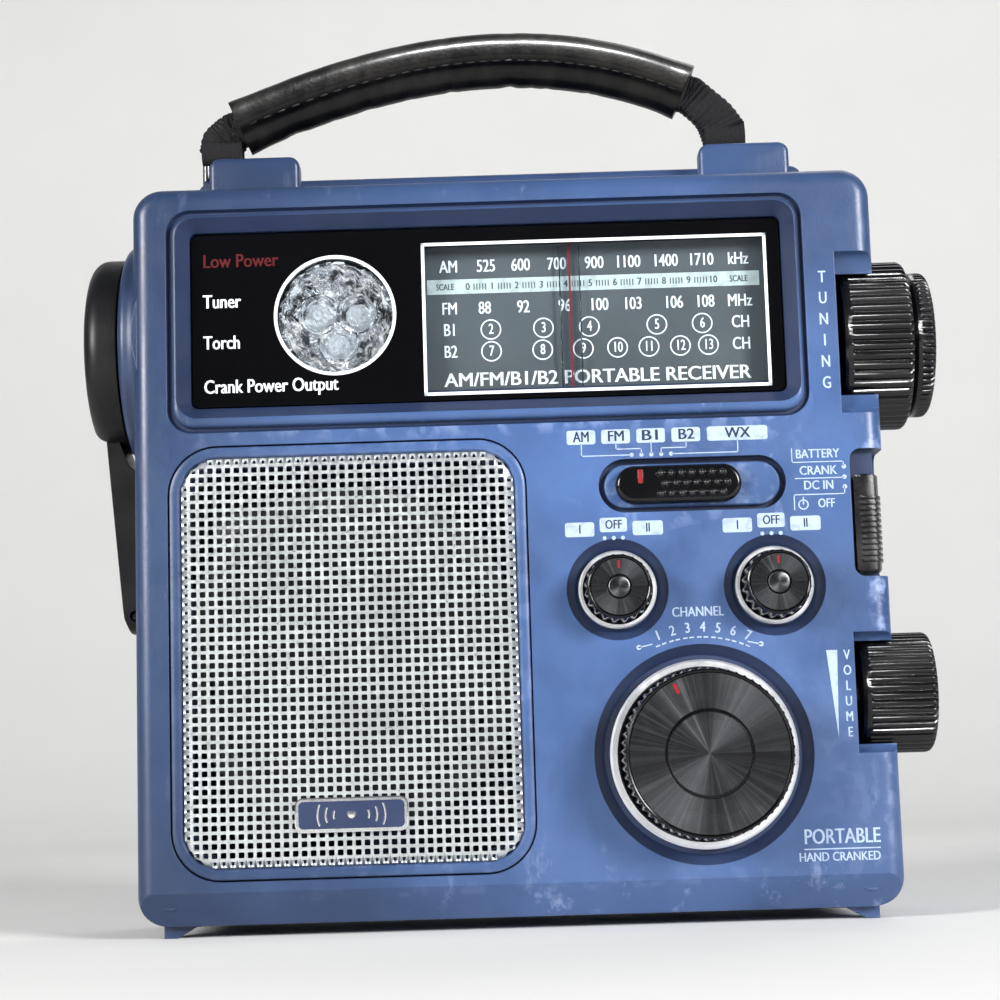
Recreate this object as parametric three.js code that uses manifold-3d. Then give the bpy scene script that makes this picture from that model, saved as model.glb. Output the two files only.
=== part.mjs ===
// A hand-cranked emergency radio, modelled as the separate pieces it comes apart into.
// Millimetres. +X is the listener's right, +Y runs from the front panel to the back, +Z is up.
// The origin is on the table, under the middle of the whole outline, knobs and crank included.
// The pieces are drawn about the middle of the case's underside, and moved there at the end.
import * as THREE from "three";
import { mergeVertices } from "three/addons/utils/BufferGeometryUtils.js";
import Module from "manifold-3d";

const wasm = await Module();
wasm.setup();

// ---- Driving dimensions -------------------------------------------------------------------

const FOOT = 2.5; // the case stands this far off the table
const WIDTH = 152;
const HEIGHT = 150;
const DEPTH = 50;
const FRONT = -DEPTH / 2;
const BACK = DEPTH / 2;
const SIDE = WIDTH / 2;
const WALL = 2.4;
const SEAM = -6; // the plane where the two case halves meet
const GAP = 0.3; // clearance between neighbouring pieces
const CORNER = 6; // corner radius of the case outline
const EDGE = 3.5; // rounding of the case's front and back edges
const INSIDE = FRONT + WALL; // back of the front wall
const FAR = 40; // long enough for a cutter to run out of the case
const FLAP_GRIP = 0.8; // the jack flap's finger ridge, the furthest thing back

const WINDOW = { x: -3.45, z: 122.25, width: 121.2, height: 36.2, slope: 2.4 };
const BEZEL = { x: -3.65, z: 121.65, width: 130.4, height: 46.4, rise: 1.2 };
const SCALE = { x: 18.9, z: 121.25, width: 70.4, height: 31.3 };
const LAMP = { x: -34.6, z: 122.7, radius: 11.8 };
const SPEAKER = { x: -32.65, z: 52.2, width: 72.6, height: 87.1, corner: 10 };
const BAND = { x: 37, z: 85.1, length: 37.8, height: 10.9, sliderX: 34.2 };
const LIGHT = { x: 21.2, z: 64.2 };
const ALERT = { x: 52.7, z: 64.2 };
const WEATHER = { x: 37.2, z: 31 };
const SMALL_KNOB = { recess: 9.8, radius: 6.8, top: 5.8, height: 7.7, stem: 2 };
const BIG_KNOB = { recess: 21.4, radius: 17.5, top: 16.3, height: 12.5, stem: 3 };
const TUNING = { y: -8, z: 115.4, radius: 17.7, start: 69.2, end: 83.6 };
const FINE = { radius: 15.2, start: 83.9, end: 88.4 };
const VOLUME = { y: -13.8, z: 42.3, radius: 12.2, start: 69.2, end: 84.3 };
const POWER = { left: 68.9, bottom: 65.4, top: 91.3, length: 19 };
const CRANK = { y: 0, z: 119.5, boss: 23.5, bossEnd: -79.5, hub: 20.8, hubEnd: -87.2 };
const ARM = { pinX: -83.8, pinZ: 112.5, tipX: -78.9, tipZ: 62, halfWidth: 7 };
const TRAIN = { moduleA: 0.8, drive: 45, pinion: 15, moduleB: 0.6, idler: 36, dynamo: 12 };
const RAIL = { halfWidth: 65.7, top: 157.8, front: -0.5, back: 9 };
const LUG = { x: 51.5, width: 19, top: 158.5, front: -16, back: -10.6 };
const RING = { leftX: -59.2, rightX: 48.5, y: -6.8, low: 153.2, high: 161.8, halfWidth: 5.4, wire: 1.8 };
const GRIP = { leftX: -55.4, leftZ: 167.4, peakX: -0.5, peakZ: 191.3, rightX: 40.1, rightZ: 172.4 };
const EYE_HALF_WIDTH = 4.2; // the sewn loop of webbing on each ring
const AERIAL = { x: 58, y: 15.5, z: 154.2, length: 104 };
const BAY = { halfWidth: 31, low: 5, high: 57, floor: 7 };
const CELL = { radius: 7.2, length: 50.5, pitch: 15.6, first: 14, y: 14.9 };
const JACKS = { left: -69, right: -43, low: 12, high: 25 };
const SCREWS = [
  { name: "lower_left", x: -69.5, z: 6.5 },
  { name: "lower_right", x: 69.5, z: 6.5 },
  { name: "upper_left", x: -69.5, z: 143.4 },
  { name: "upper_right", x: 69.5, z: 143.4 },
];

// ---- Materials ----------------------------------------------------------------------------

const paint = (color, roughness, metalness = 0) =>
  new THREE.MeshStandardMaterial({ color, roughness, metalness });
const blue = paint(0x3c527f, 0.5);
const black = paint(0x101114, 0.35);
const rubber = paint(0x17181a, 0.8);
const chrome = paint(0xd6d8da, 0.15, 1);
const steel = paint(0xa9abad, 0.35, 1);
const aluminium = paint(0xb9beb8, 0.45, 0.8);
const smoked = paint(0x14161a, 0.08);
const grey = paint(0x4a5057, 0.5);
const red = paint(0xa81f2b, 0.4);
const clear = paint(0xe8eef0, 0.05);
const leather = paint(0x15130f, 0.4);
const nylon = paint(0x121315, 0.9);
const paper = paint(0x232323, 0.95);
const ferrite = paint(0x2d2a2b, 0.7);
const circuit = paint(0x1f5c3a, 0.6);
const copper = paint(0xb5713f, 0.4, 0.9);
const nickel = paint(0xc9ccc5, 0.3, 1);
const white = paint(0xd8d4c6, 0.5);

// ---- Solid helpers ------------------------------------------------------------------------

// A three.js geometry as a manifold-3d solid.
function solid(geometry) {
  const bare = geometry.index ? geometry.toNonIndexed() : geometry.clone();
  bare.deleteAttribute("normal");
  bare.deleteAttribute("uv");
  const merged = mergeVertices(bare, 1e-3);
  return new wasm.Manifold(
    new wasm.Mesh({
      numProp: 3,
      vertProperties: merged.attributes.position.array,
      triVerts: new Uint32Array(merged.index.array),
    }),
  );
}

// A manifold-3d solid back as a three.js geometry.
function geometryOf(shape) {
  const mesh = shape.getMesh();
  const geometry = new THREE.BufferGeometry();
  geometry.setAttribute("position", new THREE.BufferAttribute(mesh.vertProperties, 3));
  geometry.setIndex(new THREE.BufferAttribute(mesh.triVerts, 1));
  geometry.computeVertexNormals();
  return geometry;
}

const union = (first, ...rest) => rest.reduce((all, next) => all.add(next), first);
const cut = (first, ...rest) => rest.reduce((all, next) => all.subtract(next), first);

function roundedRect(width, height, radius, x = 0, y = 0) {
  const right = x + width / 2;
  const left = x - width / 2;
  const top = y + height / 2;
  const bottom = y - height / 2;
  const shape = new THREE.Shape();
  shape.absarc(right - radius, bottom + radius, radius, -Math.PI / 2, 0, false);
  shape.absarc(right - radius, top - radius, radius, 0, Math.PI / 2, false);
  shape.absarc(left + radius, top - radius, radius, Math.PI / 2, Math.PI, false);
  shape.absarc(left + radius, bottom + radius, radius, Math.PI, (3 * Math.PI) / 2, false);
  return shape;
}

const stadium = (length, height, x, y) => roundedRect(length, height, height / 2 - 0.2, x, y);

function circle(radius, x = 0, y = 0) {
  const shape = new THREE.Shape();
  shape.absarc(x, y, radius, 0, 2 * Math.PI, false);
  return shape;
}

const polygon = (points) => new THREE.Shape(points.map(([x, y]) => new THREE.Vector2(x, y)));

// An outline drawn in X and Z, pushed from y = from back to y = to. A bevel narrows both ends.
function alongY(shape, from, to, bevel = {}) {
  const { thick = 0, size = 0, steps = 1, segments = 4 } = bevel;
  const geometry = new THREE.ExtrudeGeometry(shape, {
    depth: to - from - 2 * thick,
    curveSegments: segments,
    bevelEnabled: thick > 0,
    bevelThickness: thick,
    bevelSize: size,
    bevelOffset: -size,
    bevelSegments: steps,
  });
  geometry.rotateX(Math.PI / 2);
  geometry.translate(0, to - thick, 0);
  return solid(geometry);
}

// An outline drawn in Y and Z, pushed from x = from to x = to.
function alongX(shape, from, to, segments = 4) {
  const geometry = new THREE.ExtrudeGeometry(shape, {
    depth: to - from,
    curveSegments: segments,
    bevelEnabled: false,
  });
  const axes = new THREE.Matrix4().makeBasis(
    new THREE.Vector3(0, 1, 0),
    new THREE.Vector3(0, 0, 1),
    new THREE.Vector3(1, 0, 0),
  );
  geometry.applyMatrix4(axes);
  geometry.translate(from, 0, 0);
  return solid(geometry);
}

function box(x0, x1, y0, y1, z0, z1) {
  const geometry = new THREE.BoxGeometry(x1 - x0, y1 - y0, z1 - z0);
  geometry.translate((x0 + x1) / 2, (y0 + y1) / 2, (z0 + z1) / 2);
  return solid(geometry);
}

// A profile of [radius, y] points, listed from the front to the back, spun about a Y axis.
function spunAboutY(profile, x, z, segments = 32) {
  const points = profile.map(([radius, y]) => new THREE.Vector2(radius, y));
  const geometry = new THREE.LatheGeometry(points, segments);
  geometry.translate(x, 0, z);
  return solid(geometry);
}

// A profile of [radius, x] points, listed from low x to high x, spun about an X axis.
function spunAboutX(profile, y, z, segments = 32) {
  const points = profile.map(([radius, x]) => new THREE.Vector2(radius, x));
  const geometry = new THREE.LatheGeometry(points, segments);
  geometry.rotateZ(-Math.PI / 2);
  geometry.translate(0, y, z);
  return solid(geometry);
}

// The same, spun about a vertical axis.
function spunAboutZ(profile, x, y, segments = 24) {
  const points = profile.map(([radius, z]) => new THREE.Vector2(radius, z));
  const geometry = new THREE.LatheGeometry(points, segments);
  geometry.rotateX(Math.PI / 2);
  geometry.translate(x, y, 0);
  return solid(geometry);
}

// A closed ring profile is listed once; this repeats its first point at the end.
const closed = (profile) => [...profile, profile[0]];

const rod = (radius, from, to) => [
  [0, from],
  [radius, from],
  [radius, to],
  [0, to],
];

const pipe = (outer, inner, from, to) =>
  closed([
    [inner, from],
    [outer, from],
    [outer, to],
    [inner, to],
  ]);

// ---- Gears --------------------------------------------------------------------------------

const IDLER = below(CRANK, 6, (TRAIN.moduleA * (TRAIN.drive + TRAIN.pinion)) / 2);
const DYNAMO = below(IDLER, 2, (TRAIN.moduleB * (TRAIN.idler + TRAIN.dynamo)) / 2);

// The centre that lies `across` behind another and a given distance away, lower down.
function below(centre, across, distance) {
  return { y: centre.y + across, z: centre.z - Math.sqrt(distance ** 2 - across ** 2) };
}

// The outline of an involute spur gear, thinned for backlash, with a tooth at angle `turn`.
function gearOutline(gearModule, teeth, turn, y, z) {
  const pitch = (gearModule * teeth) / 2;
  const base = pitch * Math.cos((20 * Math.PI) / 180);
  const tip = pitch + 0.85 * gearModule;
  const root = pitch - 1.2 * gearModule;
  const backlash = 0.12;
  const spread = (radius) => {
    const roll = Math.sqrt(Math.max((radius / base) ** 2 - 1, 0));
    return roll - Math.atan(roll);
  };
  const halfAtPitch = Math.PI / (2 * teeth) - backlash / pitch;
  const half = (radius) => halfAtPitch + spread(pitch) - spread(Math.max(radius, base));
  const shape = new THREE.Shape();
  const at = (radius, angle) => [y + radius * Math.cos(angle), z + radius * Math.sin(angle)];
  const radii = [root, pitch, tip];
  for (let tooth = 0; tooth < teeth; tooth++) {
    const middle = turn + (2 * Math.PI * tooth) / teeth;
    const left = radii.map((radius) => at(radius, middle - half(radius)));
    const right = radii.map((radius) => at(radius, middle + half(radius))).reverse();
    for (const [px, py] of [...left, ...right]) {
      if (tooth === 0 && shape.curves.length === 0 && px === left[0][0]) shape.moveTo(px, py);
      else shape.lineTo(px, py);
    }
  }
  return shape;
}

// ---- The case -----------------------------------------------------------------------------

function caseOutline(inset) {
  return roundedRect(
    WIDTH - 2 * inset,
    HEIGHT - 2 * inset,
    CORNER - Math.min(inset, EDGE),
    0,
    HEIGHT / 2,
  );
}

// A thumbwheel's well: the round room it turns in, its cup wall, and the finger notch in front.
function wheelWell(wheel, notchHalf, slotHalf) {
  const room = wheel.radius + 1;
  const notch = polygon([
    [FRONT - 5, wheel.z - notchHalf - 5],
    [FRONT, wheel.z - notchHalf],
    [FRONT + 3, wheel.z - slotHalf],
    [FRONT + 3, wheel.z + slotHalf],
    [FRONT, wheel.z + notchHalf],
    [FRONT - 5, wheel.z + notchHalf + 5],
  ]);
  return {
    cup: spunAboutX(rod(room + 1.8, wheel.start - 3, SIDE - 1), wheel.y, wheel.z),
    room: union(
      spunAboutX(rod(room, wheel.start - 1.2, FAR + SIDE), wheel.y, wheel.z),
      alongX(notch, wheel.start - 1.3, SIDE + FAR),
      spunAboutX(rod(3.6, wheel.start - 6, wheel.start), wheel.y, wheel.z, 16),
    ),
  };
}

function windowCutters() {
  const clear = GAP * 2;
  const { x, z, width, height, slope } = WINDOW;
  const seat = roundedRect(width + clear, height + clear, 1.5, x, z);
  const flare = roundedRect(width + 2 * slope, height + 2 * slope, 1.5 + slope, x, z);
  const light = roundedRect(width - 5, height - 5, 1.5, x, z);
  return [
    alongY(seat, FRONT - FAR, FRONT + 4.8),
    alongY(flare, FRONT - FAR, FRONT + 3, { thick: 4.2, size: slope }),
    alongY(light, FRONT - FAR, FRONT + FAR / 2),
  ];
}

function knobRecess(knob, place, floor) {
  const slope = 1.7;
  const flare = [
    [0, FRONT - 5],
    [knob.recess + 5 * (slope / (floor - FRONT)), FRONT - 5],
    [knob.recess - slope, floor],
    [0, floor],
  ];
  return union(
    spunAboutY(flare, place.x, place.z, 32),
    spunAboutY(rod(knob.stem + 0.4, floor - 1, floor + 6), place.x, place.z, 16),
  );
}

function powerPocket() {
  const { left, bottom, top } = POWER;
  return union(
    box(left, SIDE + 5, FRONT - 5, FRONT + 2.3, bottom, top),
    box(SIDE - 2.2, SIDE + 5, FRONT - 5, FRONT + 13, bottom, top),
    box(left + 2, left + 4.4, FRONT, FRONT + 18, bottom + 6, top - 5),
  );
}

// Everything both halves share, before the case is split at its seam.
function wholeCase() {
  const outside = alongY(caseOutline(0), FRONT, BACK, { thick: EDGE, size: EDGE, steps: 2 });
  const chin = polygon([
    [FRONT - 2, 9.6],
    [FRONT + 5, -0.74],
    [FRONT - 2, -0.74],
  ]);
  const hollow = alongY(caseOutline(WALL), INSIDE, BACK - WALL);
  const sill = box(WALL - SIDE, SIDE - WALL, INSIDE - 0.1, INSIDE + 3, WALL - 0.1, WALL + 3);
  const tuningWell = wheelWell(TUNING, 16.7, 12.1);
  const volumeWell = wheelWell(VOLUME, 12, 9.1);
  const crankBoss = [
    [0, CRANK.bossEnd],
    [CRANK.boss - 1.6, CRANK.bossEnd],
    [CRANK.boss, CRANK.bossEnd + 1.2],
    [CRANK.boss + 0.6, -SIDE + 1],
    [0, -SIDE + 1],
  ];
  return cut(
    union(
      cut(union(cut(outside, hollow), sill), alongX(chin, -SIDE - 5, SIDE + 5)),
      tuningWell.cup,
      volumeWell.cup,
      spunAboutX(crankBoss, CRANK.y, CRANK.z, 36),
      box(POWER.left - 2, SIDE - 2, INSIDE - 0.1, FRONT + 15, POWER.bottom - 2, POWER.top + 2),
    ),
    tuningWell.room,
    volumeWell.room,
    spunAboutX(rod(4.4, -SIDE - FAR, -SIDE + 5), CRANK.y, CRANK.z, 24),
    powerPocket(),
  );
}

function screwPost(screw, radius, from, to) {
  return spunAboutY(rod(radius, from, to), screw.x, screw.z, 12);
}

function foot(side, y) {
  const profile = polygon([
    [side * 71.5, 0.5],
    [side * 71.5, -FOOT],
    [side * 69, -FOOT],
    [side * 63.5, 0.5],
  ]);
  return alongY(profile, y - 3, y + 3);
}

function frontShell(whole) {
  const half = cut(whole, box(-99, 99, SEAM - GAP / 2, BACK + 5, -20, 200));
  const bezel = roundedRect(BEZEL.width, BEZEL.height, 5, BEZEL.x, BEZEL.z);
  const ledge = roundedRect(SPEAKER.width + 3, SPEAKER.height + 3, 11, SPEAKER.x, SPEAKER.z);
  const recess = roundedRect(SPEAKER.width, SPEAKER.height, SPEAKER.corner, SPEAKER.x, SPEAKER.z);
  const opening = roundedRect(SPEAKER.width - 9, SPEAKER.height - 9, 7, SPEAKER.x, SPEAKER.z);
  const lug = (side) =>
    alongY(
      roundedRect(LUG.width, LUG.top - HEIGHT + 8, 2, side * LUG.x, (LUG.top + HEIGHT - 8) / 2),
      LUG.front,
      LUG.back,
      { thick: 0.8, size: 0.8 },
    );
  const posts = SCREWS.map((screw) => screwPost(screw, 3.2, INSIDE - 0.5, SEAM - GAP / 2));
  const holes = SCREWS.map((screw) => screwPost(screw, 1.6, -16, SEAM + 5));
  const hollow = alongY(caseOutline(WALL), INSIDE, SEAM);
  return cut(
    union(
      half,
      alongY(bezel, FRONT - BEZEL.rise, FRONT + 5.6, { thick: BEZEL.rise, size: 1.6, steps: 2 }),
      alongY(ledge, INSIDE - 0.1, INSIDE + 1.2),
      alongY(stadium(BAND.length + 4, BAND.height + 4, BAND.x, BAND.z), INSIDE - 0.1, FRONT + 4.2),
      spunAboutY(rod(SMALL_KNOB.recess + 1.2, INSIDE - 0.1, FRONT + 4), LIGHT.x, LIGHT.z),
      spunAboutY(rod(SMALL_KNOB.recess + 1.2, INSIDE - 0.1, FRONT + 4), ALERT.x, ALERT.z),
      spunAboutY(rod(BIG_KNOB.recess + 1.2, INSIDE - 0.1, FRONT + 4), WEATHER.x, WEATHER.z),
      cut(union(lug(-1), lug(1)), hollow),
      foot(-1, -15),
      foot(1, -15),
      ...posts,
    ),
    ...windowCutters(),
    alongY(recess, FRONT - 5, INSIDE - 0.2),
    alongY(opening, FRONT - 5, 0),
    alongY(stadium(BAND.length, BAND.height, BAND.x, BAND.z), FRONT - 5, FRONT + 2.4),
    alongY(stadium(17, 3.4, BAND.sliderX + 2, BAND.z), FRONT, FRONT + 9),
    knobRecess(SMALL_KNOB, LIGHT, FRONT + 2.2),
    knobRecess(SMALL_KNOB, ALERT, FRONT + 2.2),
    knobRecess(BIG_KNOB, WEATHER, FRONT + 2.4),
    ...holes,
  );
}

// The tab on the rail that a strap ring's lower bar hangs in.
function ringTab(x) {
  const front = RING.y - 3.1;
  const back = RAIL.front + 0.5;
  const tab = roundedRect(back - front, 5.3, 1.5, (front + back) / 2, RING.low - 0.1);
  return alongX(tab, x - 3.6, x + 3.6);
}

function batteryBay() {
  const { halfWidth, low, high, floor } = BAY;
  return box(-halfWidth - 1.8, halfWidth + 1.8, floor - 1.8, BACK - 1, low - 1.8, high + 1.8);
}

function rearShell(whole) {
  const half = cut(whole, box(-99, 99, FRONT - 20, SEAM + GAP / 2, -20, 200));
  const rail = roundedRect(2 * RAIL.halfWidth, 12, 3, 0, RAIL.top - 6);
  const railBlock = cut(
    alongY(rail, RAIL.front, RAIL.back, { thick: 1, size: 1 }),
    box(-99, 99, -20, 20, 100, HEIGHT - 1),
  );
  const posts = SCREWS.map((screw) => screwPost(screw, 4.3, SEAM + GAP / 2, BACK - 1));
  const heads = SCREWS.map((screw) => screwPost(screw, 3.1, BACK - 5.2, BACK + 5));
  const shanks = SCREWS.map((screw) => screwPost(screw, 1.6, SEAM - 5, BACK));
  const { left, right, low, high } = JACKS;
  return cut(
    union(
      half,
      railBlock,
      ringTab(RING.leftX),
      ringTab(RING.rightX),
      batteryBay(),
      box(left - 1.5, right + 1.5, BACK - 4.4, BACK - 2, low - 1.5, high + 1.5),
      foot(-1, 17),
      foot(1, 17),
      ...posts,
    ),
    spunAboutX(rod(1.45, RING.leftX - 5, RING.rightX + 5), RING.y, RING.low, 12),
    box(-BAY.halfWidth, BAY.halfWidth, BAY.floor, BACK + 5, BAY.low, BAY.high),
    box(left, right, BACK - 1.7, BACK + 5, low, high),
    box(left + 4, right - 2, BACK - 6, BACK, low + 2, high - 2),
    ...heads,
    ...shanks,
  );
}

// ---- The dial and the lamp ----------------------------------------------------------------

function windowLens() {
  return alongY(roundedRect(WINDOW.width, WINDOW.height, 1.3, WINDOW.x, WINDOW.z), -22, -20.5);
}

function dialScalePlate() {
  return box(
    SCALE.x - SCALE.width / 2 - 1,
    SCALE.x + SCALE.width / 2 + 1,
    -17.6,
    -16.8,
    SCALE.z - SCALE.height / 2 - 0.5,
    SCALE.z + SCALE.height / 2 + 0.5,
  );
}

// The needle stands in front of the scale and hangs from a block that runs on the rail.
function tuningPointer() {
  const x = 13.9;
  return cut(
    union(
      box(x - 0.5, x + 0.5, -18.9, -18.3, 105.4, 142),
      box(x - 0.5, x + 0.5, -18.9, -13.5, 140.6, 142.4),
      box(x - 4, x + 4, -16.8, -13.2, 140.6, 144.8),
    ),
    spunAboutX(rod(1.3, -FAR, FAR), -15, 142.7, 12),
  );
}

function pointerRail() {
  return spunAboutX(rod(1, -16, 54), -15, 142.7, 12);
}

// A bowl whose mouth lies just behind the window.
function lampReflector() {
  const r = LAMP.radius;
  return spunAboutY(
    [
      [0, -9.4],
      [4.5, -9.4],
      [8.6, -11.6],
      [r - 1.2, -16],
      [r - 0.6, -19.6],
      [r, -19.6],
      [r, -16],
      [9.4, -10.6],
      [5, -8.2],
      [0, -8.2],
    ],
    LAMP.x,
    LAMP.z,
    24,
  );
}

function lampLed(angle) {
  const turn = (angle * Math.PI) / 180;
  const x = LAMP.x + 4.4 * Math.cos(turn);
  const z = LAMP.z - 0.4 + 4.4 * Math.sin(turn);
  return spunAboutY(
    [
      [0, -16.4],
      [1.2, -16.1],
      [2.1, -15.2],
      [2.4, -14],
      [2.4, -11],
      [0, -11],
    ],
    x,
    z,
    10,
  );
}

// ---- The loudspeaker ----------------------------------------------------------------------

function grilleFrame() {
  const { x, z, width, height, corner } = SPEAKER;
  const outer = roundedRect(width - 2 * GAP, height - 2 * GAP, corner - GAP, x, z);
  const inner = roundedRect(width - 4.4, height - 4.4, corner - 2.2, x, z);
  const bevel = { thick: 0.3, size: 0.3 };
  return cut(alongY(outer, FRONT - 0.1, INSIDE - 0.5, bevel), alongY(inner, FRONT - 5, INSIDE + 5));
}

// A shallow pressed tray of perforated sheet, turned down at its edge.
function speakerGrille() {
  const { x, z, width, height, corner } = SPEAKER;
  const outer = roundedRect(width - 5, height - 5, corner - 2.5, x, z);
  const inner = roundedRect(width - 6.6, height - 6.6, corner - 3.3, x, z);
  return cut(
    alongY(outer, FRONT - 0.5, INSIDE - 0.5, { thick: 0.6, size: 0.6 }),
    alongY(inner, FRONT + 0.3, INSIDE + 5),
  );
}

function grilleBadge() {
  const plate = roundedRect(22.4, 6.8, 1.6, SPEAKER.x - 0.3, 21.2);
  return alongY(plate, FRONT - 1.6, FRONT - 0.8, { thick: 0.2, size: 0.2 });
}

function speakerBasket() {
  const profile = closed([
    [30, -21.1],
    [35, -21.1],
    [35, -19.7],
    [31.5, -19.7],
    [17.5, -8.5],
    [12, -8.5],
    [12, -10],
    [16.5, -10],
    [30, -20],
  ]);
  return spunAboutY(profile, SPEAKER.x, SPEAKER.z, 24);
}

function speakerCone() {
  const profile = [
    [0, -15.5],
    [5, -14.8],
    [8, -12.8],
    [24, -20.2],
    [28.8, -20.6],
    [28.8, -20.1],
    [24, -19.6],
    [9, -12],
    [9, -10.4],
    [0, -10.4],
  ];
  return spunAboutY(profile, SPEAKER.x, SPEAKER.z, 24);
}

function speakerMagnet() {
  return spunAboutY(rod(16, -8.2, 1), SPEAKER.x, SPEAKER.z);
}

// ---- Front panel controls -----------------------------------------------------------------

function bandSlider() {
  return union(
    alongY(stadium(25.4, 7.7, BAND.sliderX, BAND.z), FRONT - 1.6, FRONT + 2.1, {
      thick: 0.8,
      size: 0.8,
    }),
    box(BAND.sliderX - 2, BAND.sliderX + 2, FRONT + 2, FRONT + 7, BAND.z - 1.2, BAND.z + 1.2),
  );
}

// A fluted knob: a ridged drum that narrows to a flat top, on a stem that enters the case.
function flutedKnob(knob, place, flutes) {
  const top = FRONT - knob.height;
  const drum = [
    [0, top],
    [knob.top, top],
    [knob.top + 0.5, top + 0.5],
    [knob.radius, FRONT + 1.6],
    [knob.stem, FRONT + 1.6],
    [knob.stem, FRONT + 8],
    [0, FRONT + 8],
  ];
  const body = spunAboutY(drum, place.x, place.z, flutes);
  const grooves = [];
  for (let flute = 0; flute < flutes; flute += 2) {
    const turn = (2 * Math.PI * (flute + 0.5)) / flutes;
    const x = place.x + (knob.radius + 0.35) * Math.cos(turn);
    const z = place.z + (knob.radius + 0.35) * Math.sin(turn);
    grooves.push(spunAboutY(rod(0.9, top - 2, FRONT + 0.6), x, z, 6));
  }
  return cut(body, ...grooves);
}

function knobRing(knob, place) {
  return spunAboutY(
    pipe(knob.radius + 1, knob.radius + GAP, FRONT - 0.2, FRONT + 1.8),
    place.x,
    place.z,
    32,
  );
}

function ridgedWheel(wheel, ridges, bore) {
  const outline = new THREE.Shape();
  for (let ridge = 0; ridge < ridges; ridge++) {
    const start = (2 * Math.PI * ridge) / ridges;
    const steps = [
      [0, wheel.radius],
      [0.4, wheel.radius],
      [0.55, wheel.radius - 0.7],
      [0.85, wheel.radius - 0.7],
    ];
    for (const [share, radius] of steps) {
      const angle = start + (2 * Math.PI * share) / ridges;
      const y = wheel.y + radius * Math.cos(angle);
      const z = wheel.z + radius * Math.sin(angle);
      if (ridge === 0 && share === 0) outline.moveTo(y, z);
      else outline.lineTo(y, z);
    }
  }
  const drum = alongX(outline, wheel.start, wheel.end);
  return bore ? cut(drum, spunAboutX(rod(bore, 0, FAR + SIDE), wheel.y, wheel.z, 20)) : drum;
}

function tuningKnob() {
  const sleeve = spunAboutX(pipe(3.2, 2.1, 66.2, TUNING.end), TUNING.y, TUNING.z, 20);
  return union(ridgedWheel(TUNING, 30, 2.9), sleeve);
}

function fineTuningKnob() {
  const wheel = ridgedWheel({ ...FINE, y: TUNING.y, z: TUNING.z }, 28, 0);
  return union(wheel, spunAboutX(rod(1.8, 65.6, FINE.start + 1), TUNING.y, TUNING.z, 16));
}

function volumeKnob() {
  const wheel = ridgedWheel(VOLUME, 22, 0);
  return union(wheel, spunAboutX(rod(3, 66.4, VOLUME.start + 1), VOLUME.y, VOLUME.z, 16));
}

// The power switch wraps the front corner, with ribs across both of its faces.
function powerSlider() {
  const low = POWER.bottom + 1.2;
  const high = low + POWER.length;
  const ribs = [];
  for (let z = low + 2; z < high - 4; z += 1.5) {
    ribs.push(box(70.4, 75.6, FRONT - 1, FRONT, z, z + 0.6));
    ribs.push(box(SIDE + 1, SIDE + 1.8, FRONT + 0.6, FRONT + 11, z, z + 0.6));
  }
  return union(
    box(POWER.left + 0.5, SIDE + 1.2, FRONT - 0.6, FRONT + 2, low, high),
    box(SIDE - 1.8, SIDE + 1.2, FRONT - 0.6, FRONT + 12, low, high),
    box(POWER.left + 2.4, POWER.left + 4, FRONT + 1, FRONT + 7, low + 6, low + 10),
    ...ribs,
  );
}

// ---- Inside the case ----------------------------------------------------------------------

function tuningCapacitor() {
  return box(48, 65.2, TUNING.y - 6, TUNING.y + 6, TUNING.z - 10, TUNING.z + 10);
}

function volumePot() {
  return spunAboutX(rod(7, 57.6, 66), VOLUME.y, VOLUME.z, 24);
}

// The printed board carries the switch bodies that the three front knobs and the slider work.
function mainBoard() {
  const switchBody = (place, half) =>
    box(place.x - half, place.x + half, -16.6, -11.9, place.z - half, place.z + half);
  return union(
    box(7, 56, -12, -10.4, 7, 97),
    switchBody(LIGHT, 6),
    switchBody(ALERT, 6),
    switchBody(WEATHER, 9),
    box(24, 46, -16.6, -11.9, BAND.z - 4, BAND.z + 4),
    box(12, 24, -10.5, -7.5, 40, 52),
    box(30, 36, -10.5, -6, 58, 66),
    box(42, 50, -10.5, -5, 80, 90),
  );
}

function ferriteRod() {
  return union(
    spunAboutX(rod(4.6, -44, 44), 13, 139.5, 16),
    spunAboutX(rod(5.6, -12, 22), 13, 139.5, 16),
  );
}

function siren() {
  return spunAboutY(
    [
      [0, 12],
      [13, 12],
      [14, 13],
      [14, 17],
      [0, 17],
    ],
    47,
    80,
    24,
  );
}

function cellAt(index) {
  const z = CELL.first + index * CELL.pitch;
  const half = CELL.length / 2;
  const flip = index % 2 ? -1 : 1;
  const can = spunAboutX(rod(CELL.radius, -half + 0.5, half - 1), CELL.y, z, 20);
  const nub = flip > 0 ? rod(2.7, half - 1.5, half) : rod(2.7, -half - 0.5, -half + 1);
  return union(can, spunAboutX(nub, CELL.y, z, 16));
}

function batteryPack() {
  return alongX(roundedRect(11, 36, 5, 14, 29), 37, 70);
}

function batteryDoor() {
  const { halfWidth, low, high } = BAY;
  const plate = roundedRect(2 * halfWidth - 0.6, high - low - 0.6, 1, 0, (low + high) / 2);
  const grips = [];
  for (let row = 0; row < 4; row++) {
    grips.push(box(-9, 9, BACK - 0.2, BACK + 0.7, 46 + row * 2.2, 46.9 + row * 2.2));
  }
  return union(alongY(plate, BACK - 2.2, BACK, { thick: 0.3, size: 0.3 }), ...grips);
}

function jackFlap() {
  const { left, right, low, high } = JACKS;
  return union(
    box(left + 0.3, right - 0.3, BACK - 1.5, BACK, low + 0.3, high - 0.3),
    box(right - 5, right - 1.6, BACK - 0.1, BACK + FLAP_GRIP, low + 4, high - 4),
  );
}

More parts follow.
